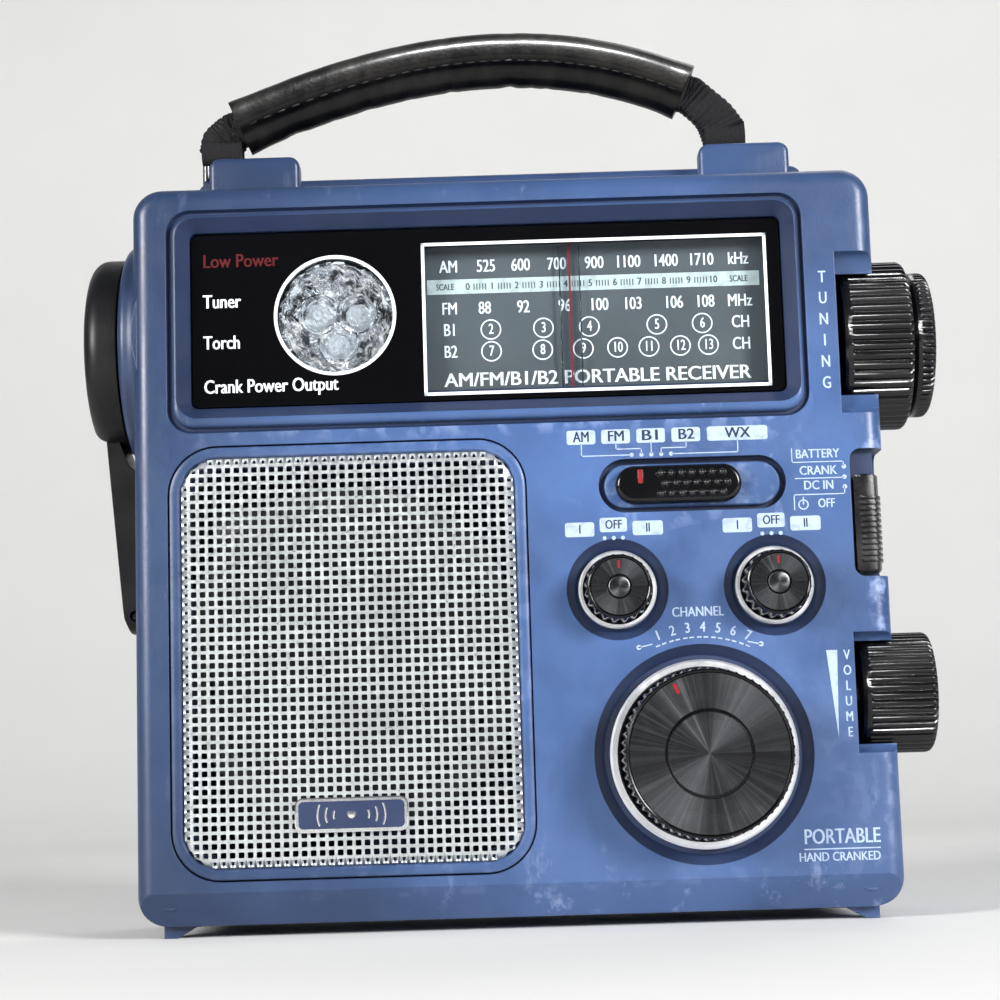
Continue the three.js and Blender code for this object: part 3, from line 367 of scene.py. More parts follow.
# The strip, the pale print and the red print glow a little: painted light that keeps them bright where shade
# falls.
STRIP = printed("dial_strip", (0.52, 0.61, 0.60), 0.14)
PRINT = printed("pale_print", (0.84, 0.88, 0.91), 0.2)
PILL = printed("label_print", (0.40, 0.50, 0.66), 0.0)
RED = printed("red_print", (0.24, 0.012, 0.018), 0.05)
DULL_RED = printed("dull_red_print", (0.085, 0.007, 0.009), 0.0)
NYLON = moulded("gear_nylon", (0.62, 0.60, 0.52), 0.45)
BOARD = moulded("circuit_board", (0.015, 0.10, 0.045), 0.4)
WRAP = moulded("pack_wrap", (0.06, 0.18, 0.08), 0.3)
CONE = moulded("cone_paper", (0.012, 0.012, 0.012), 0.85, grain=700, depth=0.0001)
FERRITE = moulded("ferrite", (0.022, 0.021, 0.021), 0.6, grain=900)
CHROME = metal("chrome_plate", (0.96, 0.97, 0.98), 0.14)
PAINTED_GLINT_CHROME = sparkling("lamp_chrome")
WHITE_METAL = metal("satin_ring", (0.97, 0.98, 1.0), 0.34, scale=300, depth=0.000002, plating=0.8)
DARK_STEEL = metal("blackened_steel", (0.10, 0.10, 0.105), 0.3)
STEEL = metal("bright_steel", (0.5, 0.5, 0.5), 0.32, (1, 1, 0.2))
GRILLE = metal("grille_aluminium", (0.62, 0.65, 0.66), 0.38, scale=1400, plating=0.78)
TURNED = spun_top("turned_top", (0.030, 0.031, 0.033), 0.24)
NICKEL = metal("nickel_plate", (0.66, 0.66, 0.62), 0.18, (0.1, 1, 1))
LEATHER = leather_material()
WEBBING = webbing_material()
CLEAR = clear_window()
LED = led_material()

# ---- Mesh helpers -----------------------------------------------------------------------------


def shown(name, mesh):
    """A new object in the scene for a mesh."""
    piece = bpy.data.objects.new(name, mesh)
    bpy.context.scene.collection.objects.link(piece)
    return piece


def baked(piece):
    """The mesh of an object with its modifiers applied."""
    graph = bpy.context.evaluated_depsgraph_get()
    return bpy.data.meshes.new_from_object(piece.evaluated_get(graph), depsgraph=graph)


def mesh_object(name, points, faces, material):
    mesh = bpy.data.meshes.new(name)
    mesh.from_pydata([tuple(p) for p in points], [], faces)
    mesh.materials.append(material)
    work = bmesh.new()
    work.from_mesh(mesh)
    bmesh.ops.remove_doubles(work, verts=work.verts, dist=1e-4)
    bmesh.ops.recalc_face_normals(work, faces=work.faces)
    work.to_mesh(mesh)
    work.free()
    return shown(name, mesh)


def rounded_rect(width, height, radius, x=0, y=0, steps=10):
    """A closed outline of points, four arcs joined by straight sides."""
    radius = max(radius, 0.01)
    points = []
    for sx, sy, start in ((1, -1, -90), (1, 1, 0), (-1, 1, 90), (-1, -1, 180)):
        cx = x + sx * (width / 2 - radius)
        cy = y + sy * (height / 2 - radius)
        for step in range(steps + 1):
            angle = math.radians(start + 90 * step / steps)
            points.append((cx + radius * math.cos(angle), cy + radius * math.sin(angle)))
    return points


def loft(name, rings, material, ring_shaped=False):
    """Skins a list of equal closed rings. The ends are capped, or joined if ring_shaped."""
    count = len(rings[0])
    points = [p for ring in rings for p in ring]
    faces = []
    for row in range(len(rings) if ring_shaped else len(rings) - 1):
        below = row * count
        above = ((row + 1) % len(rings)) * count
        for i in range(count):
            j = (i + 1) % count
            faces.append((below + i, below + j, above + j, above + i))
    if not ring_shaped:
        faces.append(tuple(range(count)))
        faces.append(tuple(range((len(rings) - 1) * count, len(rings) * count)))
    return mesh_object(name, points, faces, material)


def slab(name, rect, stations, material, steps=10):
    """A rounded rectangle in X and Z, lofted along Y. Each station is (y, how far it is inset)."""
    width, height, radius, x, z = rect
    rings = []
    for y, inset in stations:
        outline = rounded_rect(width - 2 * inset, height - 2 * inset, radius - inset, x, z, steps)
        rings.append([(px, y, pz) for px, pz in outline])
    return loft(name, rings, material)


def rounding(start, size, steps=6, rise=None):
    """Stations for a convex quarter round that begins at y = start, fully inset."""
    rise = size if rise is None else rise
    stations = []
    for step in range(steps + 1):
        angle = math.pi / 2 * step / steps
        stations.append((start + rise * (1 - math.cos(angle)), size * (1 - math.sin(angle))))
    return stations


def mirrored(stations, total):
    """The same stations seen from the other end, so that y becomes total - y."""
    return [(total - y, inset) for y, inset in reversed(stations)]


def lathe(name, profile, axis, centre, material, segments=96, wave=None, flutes=0, ring_shaped=False):
    """A profile of (radius, along, scallop depth) points spun about a Y or an X axis.

    flutes is how many scallops go round, and wave gives a scallop's depth share at a phase 0..1.
    """
    rings = []
    for radius, along, *depth in profile:
        ring = []
        for step in range(segments):
            share = step / segments
            r = radius - depth[0] * wave((share * flutes) % 1.0) if depth else radius
            a = centre[0] + r * math.cos(2 * math.pi * share)
            b = centre[1] + r * math.sin(2 * math.pi * share)
            ring.append((a, along, b) if axis == "Y" else (along, a, b))
        rings.append(ring)
    return loft(name, rings, material, ring_shaped)


def rod(name, radius, start, end, axis, centre, material, segments=96):
    """A plain solid cylinder."""
    profile = [(0, start), (radius, start), (radius, end), (0, end)]
    return lathe(name, profile, axis, centre, material, segments)


def pipe(name, inner, outer, start, end, axis, centre, material, segments=96, soft=0.2):
    """A closed ring, slightly rounded at both ends of its outside."""
    profile = [(inner, start), (outer - soft, start), (outer, start + soft)]
    profile += [(outer, end - soft), (outer - soft, end), (inner, end)]
    return lathe(name, profile, axis, centre, material, segments, ring_shaped=True)


def prism(name, outline, axis, start, end, material):
    """An outline pushed along an axis: drawn in X and Z for Y, Y and Z for X, X and Y for Z."""
    place = {"Y": lambda a, b, t: (a, t, b), "X": lambda a, b, t: (t, a, b), "Z": lambda a, b, t: (a, b, t)}
    rings = [[place[axis](a, b, t) for a, b in outline] for t in (start, end)]
    return loft(name, rings, material)


def block(name, x0, x1, y0, y1, z0, z1, material):
    return prism(name, [(x0, z0), (x1, z0), (x1, z1), (x0, z1)], "Y", y0, y1, material)


def layer(y0, y1):
    """Everything that lies between two depths."""
    return block("layer", -PAST, PAST, y0, y1, UNDER, OVER, BLUE)


def combine(target, operation, tools):
    """Joins tools to the target, or cuts them from it, and deletes the tools."""
    for tool in tools:
        modifier = target.modifiers.new("combine", "BOOLEAN")
        modifier.operation = operation
        modifier.object = tool
        modifier.solver = "EXACT"
        # Cut faces take the cutter's material, so navy cutters paint shade onto the walls they leave.
        modifier.material_mode = "TRANSFER"
    bpy.context.view_layer.update()
    mesh = baked(target)
    target.modifiers.clear()
    target.data = mesh
    for tool in tools:
        bpy.data.objects.remove(tool)
    return target


def cut(target, *tools):
    return combine(target, "DIFFERENCE", tools)


def join(target, *tools):
    return combine(target, "UNION", tools)


def sharpen(mesh, angle=32):
    mesh.shade_smooth()
    mesh.set_sharp_from_angle(angle=math.radians(angle))


def add(piece, body, slot, *stands_for, angle=32):
    """Moves a finished piece into the frame and hangs it on its body."""
    piece.data.transform(TO_FRAME)
    sharpen(piece.data, angle)
    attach(piece, body)
    if stands_for:
        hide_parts(*stands_for)
    return piece


def merged(name, pieces):
    """One object from several, keeping their materials."""
    work = bmesh.new()
    materials = []
    for piece in pieces:
        mesh = piece.data
        offset = []
        for material in mesh.materials:
            if material not in materials:
                materials.append(material)
            offset.append(materials.index(material))
        start = len(work.faces)
        work.from_mesh(mesh)
        work.faces.ensure_lookup_table()
        for face in work.faces[start:]:
            face.material_index = offset[face.material_index] if offset else 0
    mesh = bpy.data.meshes.new(name)
    work.to_mesh(mesh)
    work.free()
    for material in materials:
        mesh.materials.append(material)
    for piece in pieces:
        bpy.data.objects.remove(piece)
    return shown(name, mesh)


# ---- The case ---------------------------------------------------------------------------------


def case_rect(inset=0):
    return (WIDTH - 2 * inset, HEIGHT - 2 * inset, max(CORNER - min(inset, EDGE), 1), 0, HEIGHT / 2)


def wheel_well(wheel):
    """The cup round a thumbwheel, and the room and finger notch cut into it."""
    room, start, z = wheel["radius"] + 1, wheel["start"], wheel["z"]
    notch, slot_half = wheel["notch"], wheel["slot"]
    centre = (wheel["y"], z)
    cup = rod("cup", room + 1.8, start - 3, SIDE - 1, "X", centre, BLUE)
    # The room and the bore are cut in navy: painted shade inside the cup.
    cavity = rod("room", room, start - 1.2, SIDE + FAR, "X", centre, NAVY_INK_AND_SHADE)
    reach = notch + 2
    join(cup, block("pad", start - 3, SIDE - 1.2, FRONT + 1, FRONT + 17, z - reach, z + reach, BLUE))
    cut(cup, layer(FRONT - 20, FRONT + 1))
    bore = rod("bore", 3.6, start - 6, start, "X", centre, NAVY_INK_AND_SHADE, 32)
    lip = []
    for step in range(9):
        angle = math.pi / 2 * step / 8
        lip.append((FRONT + 3.2 * math.sin(angle), notch - (notch - slot_half) * (1 - math.cos(angle))))
    outline = [(FRONT - 5, z - notch - 1.2)]
    outline += [(y, z - away) for y, away in lip]
    outline += [(y, z + away) for y, away in reversed(lip)]
    outline.append((FRONT - 5, z + notch + 1.2))
    return cup, [cavity, prism("scoop", outline, "X", start - 1.3, SIDE + FAR, BLUE), bore]


def wheel_wells(y0, y1):
    """Both wheels' cups without what lies between two depths, and what they cut from the case."""
    cups, cavities = [], []
    for wheel in (TUNING, VOLUME):
        cup, own = wheel_well(wheel)
        cups.append(cut(cup, layer(y0, y1)))
        cavities += own
    return cups, cavities


def crank_boss(y0, y1):
    """The collar on the crank's side, flaring into the case wall."""
    boss, end = CRANK["boss"], CRANK["boss_end"]
    profile = [(0, end), (boss - 2.2, end)]
    for step in range(7):
        angle = math.pi / 2 * step / 6
        profile.append((boss - 2.2 + 2.2 * math.sin(angle), end + 1.6 * (1 - math.cos(angle))))
    for step in range(1, 9):
        share = step / 8
        profile.append((boss + 4.2 * share**2.6, end + 1.6 + 4.2 * share))
    profile.append((0, end + 5.8))
    collar = lathe("collar", profile, "X", (CRANK["y"], CRANK["z"]), BLUE, 128)
    return combine(collar, "INTERSECT", [block("keep", -PAST, -60, y0, y1, 60, 180, BLUE)])


def hollow(start, end):
    # Cut in navy: painted shade inside the case.
    return slab("hollow", case_rect(WALL), [(start, 0), (end, 0)], NAVY_INK_AND_SHADE, 4)


def axle_hole():
    return rod("axle", 4.4, -FAR - SIDE, 5 - SIDE, "X", (CRANK["y"], CRANK["z"]), NAVY_INK_AND_SHADE, 48)


def posts(radius, start, end, material=BLUE):
    return [rod("post", radius, start, end, "Y", place, material, 32) for place in SCREWS]


def feet(y):
    pair = []
    for side in (-1, 1):
        outline = [(side * 71.5, 0.5), (side * 71.5, -FOOT), (side * 69, -FOOT), (side * 63.5, 0.5)]
        pair.append(prism("foot", outline, "Y", y - 3, y + 3, BLUE))
    return pair


def knob_recess(radius, place, floor, stem):
    lip = 0.5
    profile = [(0, floor), (radius - 1.7, floor), (radius - 0.1, FRONT + lip)]
    profile += [(radius + lip, FRONT - 0.1), (radius + lip, FRONT - 5), (0, FRONT - 5)]
    # The recess is cut in navy: painted shade on its wall and floor.
    return [
        lathe("recess", profile, "Y", place, NAVY_INK_AND_SHADE, 128),
        rod("hole", stem + 0.4, floor - 1, floor + 6, "Y", place, NAVY_INK_AND_SHADE, 32),
    ]


def power_pocket():
    left, bottom, top = POWER["left"], POWER["bottom"], POWER["top"]
    face = (SIDE + 5 - left, top - bottom, 2.2, (SIDE + 5 + left) / 2, (top + bottom) / 2)
    side = rounded_rect(18, top - bottom, 2.2, FRONT + 4, (top + bottom) / 2, 6)
    # Cut in navy: painted shade inside the pocket and slot.
    return [
        slab("pocket", face, [(FRONT - 5, 0), (FRONT + 2.3, 0)], NAVY_INK_AND_SHADE, 6),
        prism("pocket_side", side, "X", SIDE - 2.2, SIDE + 5, NAVY_INK_AND_SHADE),
        block("slot", left + 2, left + 4.4, FRONT, FRONT + 18, bottom + 6, top - 5, NAVY_INK_AND_SHADE),
    ]


def lug(side):
    height = LUG["top"] - HEIGHT + 3
    rect = (LUG["width"], height, 2.2, side * LUG["x"], LUG["top"] - height / 2)
    stations = rounding(LUG["front"], 1.1, 5)
    stations += mirrored(stations, LUG["front"] + LUG["back"])
    return slab("lug", rect, stations, BLUE, 6)


def grown(part, extra, corner):
    """The outline of a window, bezel, loudspeaker or band slot, grown all round."""
    return (part["width"] + extra, part["height"] + extra, corner, part["x"], part["z"])


def front_solids():
    """What is joined to the front shell behind and round its openings."""
    rise = BEZEL["rise"]
    band_corner = (BAND["height"] + 4) / 2
    rim = rounding(FRONT - rise, 1.3, 6, rise) + [(FRONT + 5.6, 0)]
    cups, cavities = wheel_wells(FRONT_END, BACK + FAR)
    solids = [
        slab("rim", grown(BEZEL, -2.2, 4.2), rim, BLUE),
        # The pads behind the openings are navy: painted shade where they show through.
        slab("pad", grown(SPEAKER, 3, 11), [(INSIDE - 0.1, 0), (INSIDE + 1.2, 0)], NAVY_INK_AND_SHADE, 4),
        slab("pad", band_rect(4, band_corner), [(INSIDE - 0.1, 0), (FRONT + 4.2, 0)], NAVY_INK_AND_SHADE, 6),
        block("pad", POWER["left"] - 2, SIDE - 2, INSIDE - 0.1, FRONT + 15, 63.4, 93.3, NAVY_INK_AND_SHADE),
        *cups,
        crank_boss(FRONT + 1.2, FRONT_END),
        *feet(-15),
    ]
    for place, radius in ((LIGHT, 11), (ALERT, 11), (WEATHER, 22.6)):
        solids.append(rod("pad", radius, INSIDE - 0.1, FRONT + 4, "Y", place, NAVY_INK_AND_SHADE, 48))
    solids += [lug(-1), lug(1), *posts(3.2, INSIDE - 0.5, FRONT_END)]
    return solids, cavities


def band_rect(extra, corner):
    return (BAND["length"] + extra, BAND["height"] + extra, corner, BAND["x"], BAND["z"])


def band_slot():
    slot = (17, 3.4, 1.7, BAND["slider"] + 2, BAND["z"])
    # Cut in navy: painted shade in the slot.
    return slab("slot", slot, [(FRONT, 0), (FRONT + 9, 0)], NAVY_INK_AND_SHADE, 6)


def front_cuts(cavities):
    rise, slope = BEZEL["rise"], WINDOW["slope"]
    flare = [(FRONT - FAR, -0.5), (FRONT - rise - 0.1, -0.5), (FRONT - rise + 0.7, 0), (FRONT + 3, slope)]
    # Every cutter here is navy, so the walls and floors it leaves carry painted shade.
    return [
        slab("seat", grown(WINDOW, 0.6, 1.5), [(FRONT - FAR, 0), (FRONT + 4.8, 0)], NAVY_INK_AND_SHADE, 4),
        slab("flare", grown(WINDOW, 2 * slope, 1.5 + slope), flare, NAVY_INK_AND_SHADE, 8),
        slab("opening", grown(WINDOW, -5, 1.5), [(FRONT - FAR, 0), (FRONT + 20, 0)], NAVY_INK_AND_SHADE, 4),
        slab("recess", grown(SPEAKER, 0, SPEAKER["corner"]), [(FRONT - 5, 0), (INSIDE - 0.2, 0)], NAVY_INK_AND_SHADE),
        slab("sound", grown(SPEAKER, -9, 7), [(FRONT - 5, 0), (0, 0)], NAVY_INK_AND_SHADE, 6),
        slab("track", band_rect(0, BAND["height"] / 2), [(FRONT - 5, 0), (FRONT + 2.4, 0)], NAVY_INK_AND_SHADE, 12),
        band_slot(),
        *knob_recess(9.8, LIGHT, FRONT + 2.2, 2),
        *knob_recess(9.8, ALERT, FRONT + 2.2, 2),
        *knob_recess(21.4, WEATHER, FRONT + 2.4, 3),
        *cavities,
        *power_pocket(),
        *posts(1.6, -16, SEAM + 5, NAVY_INK_AND_SHADE),
        axle_hole(),
    ]


def front_case():
    outer = rounding(FRONT, EDGE, 8) + [(FRONT_END - 0.5, 0), (FRONT_END, 0.35)]
    shell = slab("front_case", case_rect(), outer, BLUE, 10)
    slope = [(FRONT - 2, 9.6), (FRONT + 5, -0.74), (FRONT - 2, -0.74)]
    chin = prism("chin", slope, "X", -PAST, PAST, BLUE)
    cut(shell, hollow(INSIDE, SEAM + 5))
    reach = SIDE - WALL
    # The sill is navy: painted shade inside the case.
    join(shell, block("sill", -reach, reach, INSIDE - 0.1, INSIDE + 3, WALL - 0.1, WALL + 3, NAVY_INK_AND_SHADE))
    cut(shell, chin)
    # The groove round the bezel is cut in navy: painted shade in the groove.
    groove = [(FRONT - 3, 0), (FRONT + 0.1, 0), (FRONT + 0.9, 0.5)]
    cut(shell, slab("groove", grown(BEZEL, 0, 5), groove, NAVY_INK_AND_SHADE))
    solids, cavities = front_solids()
    join(shell, *solids)
    cut(shell, *front_cuts(cavities))
    floor = [(FRONT + 0.9, 0.3), (FRONT + 1.2, 0), (FRONT + 3, 0)]
    island = slab("island", band_rect(-2.1, BAND["height"] / 2 - 1.05), floor, BLUE, 12)
    join(shell, cut(island, band_slot()))
    return add(shell, "case", "blue_plastic", "front_shell")


def rear_case():
    outer = [(REAR_START, 0.35), (REAR_START + 0.5, 0)] + mirrored(rounding(-BACK, EDGE, 8), 0)
    shell = slab("rear_case", case_rect(), outer, BLUE, 10)
    cut(shell, hollow(REAR_START - 1, BACK - WALL))
    cups, cavities = wheel_wells(FRONT - FAR, REAR_START)
    rail = (2 * RAIL["half"], RAIL["top"] - HEIGHT + 1.2, 2.4, 0, (RAIL["top"] + HEIGHT - 1.2) / 2)
    rail_ends = rounding(RAIL["front"], 1.4, 5)
    rail_ends += mirrored(rail_ends, RAIL["front"] + RAIL["back"])
    left, right = JACKS["left"], JACKS["right"]
    solids = [
        *cups,
        crank_boss(REAR_START, BACK + FAR),
        slab("rail", rail, rail_ends, BLUE, 6),
        ring_tab("left"),
        ring_tab("right"),
        # The walls of the battery bay and jack well are navy: painted shade inside them.
        block("bay", -32.8, 32.8, BAY["floor"] - 1.8, BACK - 1, BAY["low"] - 1.8, BAY["high"] + 1.8, NAVY_INK_AND_SHADE),
        block("well", left - 1.5, right + 1.5, BACK - 4.4, BACK - 2, 10.5, 26.5, NAVY_INK_AND_SHADE),
        *feet(17),
        *posts(4.3, REAR_START, BACK - 1),
    ]
    join(shell, *solids)
    # The cutters are navy: painted shade in the bay, sockets, holes and slots.
    cuts = [
        rod("hinge", 1.45, -70, 70, "X", (RING["y"], RING["low"]), BLUE, 24),
        block("bay", -BAY["half"], BAY["half"], BAY["floor"], BACK + 5, BAY["low"], BAY["high"], NAVY_INK_AND_SHADE),
        block("lid", left, right, BACK - 1.7, BACK + 5, JACKS["low"], JACKS["high"], NAVY_INK_AND_SHADE),
        block("sockets", left + 4, right - 2, BACK - 6, BACK, JACKS["low"] + 2, JACKS["high"] - 2, NAVY_INK_AND_SHADE),
        *posts(3.1, BACK - 5.2, BACK + 5, NAVY_INK_AND_SHADE),
        *posts(1.6, SEAM - 5, BACK, NAVY_INK_AND_SHADE),
        *cavities,
        *power_pocket(),
        axle_hole(),
        *back_grooves(),
    ]
    cut(shell, *cuts)
    return add(shell, "case", "blue_plastic", "rear_shell")


def back_grooves():
    """A field of shallow slots pressed into the back."""
    # Cut in navy: painted shade in the slots.
    sunk = [(BACK - 0.9, 0.2), (BACK + 1, 0)]
    return [slab("groove", (58, 1.6, 0.8, 0, 100 + row * 5), sunk, NAVY_INK_AND_SHADE, 4) for row in range(7)]


def ring_tab(side):
    x = RING[side]
    front, back = RING["y"] - 3.1, RAIL["front"] + 0.5
    outline = rounded_rect(back - front, 5.3, 1.5, (front + back) / 2, RING["low"] - 0.1, 6)
    return prism("tab", outline, "X", x - 3.6, x + 3.6, BLUE)


def battery_door():
    rect = (2 * BAY["half"] - 0.6, BAY["high"] - BAY["low"] - 0.6, 1.6, 0, (BAY["low"] + BAY["high"]) / 2)
    stations = [(BACK - 2.2, 0.3), (BACK - 1.9, 0)] + mirrored(rounding(-1, 0.5, 4), BACK - 1)
    plate = slab("battery_cover", rect, stations, BLUE, 6)
    ridge = [(BACK - 0.3, 0), (BACK + 0.4, 0), (BACK + 0.7, 0.25)]
    join(plate, *[slab("ridge", (18, 1, 0.45, 0, 46.4 + row * 2.2), ridge, BLUE, 4) for row in range(4)])
    return add(plate, "door", "blue_plastic", "battery_door")


# ---- Loudspeaker ------------------------------------------------------------------------------


def rect_distance(px, pz, width, height, radius, x, z):
    """Signed distance to a rounded rectangle, negative inside, and the outward direction."""
    dx, dz = px - x, pz - z
    qx, qz = abs(dx) - (width / 2 - radius), abs(dz) - (height / 2 - radius)
    ox, oz = max(qx, 0), max(qz, 0)
    length = math.hypot(ox, oz)
    distance = length + min(max(qx, qz), 0) - radius
    if length > 1e-9:
        return distance, ox / length * math.copysign(1, dx), oz / length * math.copysign(1, dz)
    if qx > qz:
        return distance, math.copysign(1, dx), 0
    return distance, 0, math.copysign(1, dz)


class GrilleMesh:
    """Points shared between neighbouring cells, and rolled back near the sheet's edge."""

    def __init__(self, rect):
        self.rect = rect
        self.points, self.faces, self.index = [], [], {}

    def vertex(self, px, pz):
        key = (round(px, 4), round(pz, 4))
        if key in self.index:
            return self.index[key]
        distance, nx, nz = rect_distance(px, pz, *self.rect)
        if distance > 0:
            px, pz, distance = px - nx * distance, pz - nz * distance, 0
        depth = max(0.0, 1 + distance / 1.7)
        drop = 1.5 * (1 - math.sqrt(max(0.0, 1 - depth * depth)))
        self.index[key] = len(self.points)
        self.points.append((px, FRONT - 0.5 + drop, pz))
        return self.index[key]

    def cell(self, cx, cz, pitch_x, pitch_z, hole):
        """One square of the sheet, with its hole unless it meets the edge."""
        distance = rect_distance(cx, cz, *self.rect)[0]
        if distance > 0.35:
            return
        corners = []
        for sx, sz in ((1, -1), (1, 1), (-1, 1), (-1, -1)):
            corners.append(self.vertex(cx + sx * pitch_x / 2, cz + sz * pitch_z / 2))
        if distance > -0.5:
            self.faces.append(tuple(corners))
            return
        inner = [self.vertex(cx + a, cz + b) for a, b in hole]
        for side in range(4):
            i = side * 3
            self.faces.append((corners[side], inner[i + 2], inner[i + 1], inner[i]))
            self.faces.append((corners[side], corners[(side + 1) % 4], inner[(i + 3) % 12], inner[i + 2]))


def perforated_grille():
    """Pressed sheet with square, round-cornered holes, turned down round its edge."""
    rect = grown(SPEAKER, -5, SPEAKER["corner"] - 2.5)
    width, height, _, x, z = rect
    pitch_x, pitch_z = width / HOLES["columns"], height / HOLES["rows"]
    hole = rounded_rect(HOLES["side"], HOLES["side"], HOLES["soft"], steps=2)
    work = GrilleMesh(rect)
    for row in range(HOLES["rows"]):
        for column in range(HOLES["columns"]):
            cx = x - width / 2 + (column + 0.5) * pitch_x
            work.cell(cx, z - height / 2 + (row + 0.5) * pitch_z, pitch_x, pitch_z, hole)
    sheet = mesh_object("perforated_grille", work.points, work.faces, GRILLE)
    outward = sum(face.normal.y * face.area for face in sheet.data.polygons)
    if outward > 0:
        sheet.data.flip_normals()
    thicken = sheet.modifiers.new("thick", "SOLIDIFY")
    thicken.thickness = HOLES["sheet"]
    thicken.offset = -1
    mesh = baked(sheet)
    sheet.modifiers.clear()
    sheet.data = mesh
    return add(sheet, "case", "grille_aluminium", "speaker_grille", angle=40)


def grille_surround():
    width, height, corner, x, z = grown(SPEAKER, -0.6, SPEAKER["corner"] - 0.3)
    stations = [(0, INSIDE - 0.5), (0, FRONT + 0.35), (0.12, FRONT + 0.08), (0.45, FRONT - 0.1)]
    stations += [(1.5, FRONT - 0.1), (1.95, FRONT + 0.05), (2.2, FRONT + 0.5), (2.2, INSIDE - 0.5)]
    rings = []
    for inset, y in stations:
        outline = rounded_rect(width - 2 * inset, height - 2 * inset, corner - inset, x, z, 14)
        rings.append([(px, y, pz) for px, pz in outline])
    ring = loft("grille_surround", rings, BLUE, ring_shaped=True)
    return add(ring, "case", "blue_plastic", "grille_frame")


def wave_arc(x, z, side, radius):
    """One raised arc of a radio wave, of round section."""
    rings = []
    for step in range(13):
        angle = math.radians(-24 + 48 * step / 12)
        ring = []
        for corner in range(8):
            turn = 2 * math.pi * corner / 8
            r = radius + 0.22 * math.cos(turn)
            across = x + side * (1.5 + r * math.cos(angle))
            ring.append((across, FRONT - 1.68 - 0.12 * math.sin(turn), z + r * math.sin(angle)))
        rings.append(ring)
    return loft("arc", rings, CHROME)


def badge():
    """A plain plaque with three arcs each way for a radio wave."""
    x, z = SPEAKER["x"] - 0.3, 21.2
    plate = [(FRONT - 0.8, 0), (FRONT - 1.4, 0), (FRONT - 1.6, 0.25)]
    inset = [(FRONT - 1.58, 0), (FRONT - 1.64, 0.05)]
    dome = [(0, FRONT - 1.6), (0.9, FRONT - 1.6), (0.7, FRONT - 1.85), (0, FRONT - 1.9)]
    marks = [
        slab("badge_plate", (22.4, 6.8, 1.6, x, z), plate, CHROME),
        slab("badge_inset", (21, 5.4, 1, x, z), inset, NAVY_INK_AND_SHADE),
    ]
    marks += [wave_arc(x, z, side, radius) for side in (-1, 1) for radius in (2, 3.6, 5.2)]
    marks.append(lathe("dot", dome, "Y", (x, z), CHROME, 32))
    return add(merged("badge", marks), "case", "chrome", "grille_badge")


# ---- Front controls ---------------------------------------------------------------------------


def scallop(phase):
    return 0.5 + 0.5 * math.cos(2 * math.pi * phase)


def ribbed(phase):
    """How far a rib's surface lies below its round crest: 1 in the narrow valley, 0 on the crest."""
    return 1 - abs(math.sin(math.pi * phase))


def pointer_mark(place, near, far, width, turn, front):
    """A short red stroke on a knob's face, turned from the top by an angle in degrees."""
    angle = math.radians(90 + turn)
    middle = (near + far) / 2
    raised = [(front + 0.05, 0), (front - 0.05, 0.02)]
    mark = slab("mark", (far - near, width, width / 3, 0, 0), raised, RED, 3)
    x, z = place[0] + middle * math.cos(angle), place[1] + middle * math.sin(angle)
    mark.data.transform(Matrix.Translation((x, 0, z)) @ Matrix.Rotation(-angle, 4, "Y"))
    return mark


def small_knob(name, place, body):
    top = FRONT - 7.7
    floor = top + 0.62
    profile = [(0, top + 0.6), (5.7, top + 0.6), (5.8, top + 0.1), (6.0, top), (6.25, top + 0.15)]
    profile += [(6.35, top + 0.6), (6.45, top + 1.2, 0.1), (6.6, top + 1.8, 0.3)]
    profile += [(6.75, FRONT - 2, 0.38), (6.95, FRONT + 0.2, 0.4), (6.8, FRONT + 1.6, 0.3)]
    profile += [(2, FRONT + 1.6), (2, FRONT + 8), (0, FRONT + 8)]
    disc = [(2.5, floor), (2.5, top + 0.25), (5.6, top + 0.25), (5.6, floor)]
    cap = [(0, floor), (0, top + 0.15), (1.8, top + 0.15), (2.1, top + 0.3), (2.1, floor)]
    parts = [
        lathe(name, profile, "Y", place, BLACK, 240, scallop, 20),
        lathe("disc", disc, "Y", place, TURNED),
        lathe("cap", cap, "Y", place, TURNED, 48),
        pointer_mark(place, 3.6, 5.2, 0.5, 0, top + 0.25),
    ]
    skirt = pipe("skirt", 7.05, 7.85, FRONT - 0.2, FRONT + 1.8, "Y", place, WHITE_METAL, 96, 0.3)
    cad = name.replace("dial", "knob")
    add(merged(name, parts), body, "black_gloss", cad)
    return add(skirt, body, "chrome", cad + "_ring")


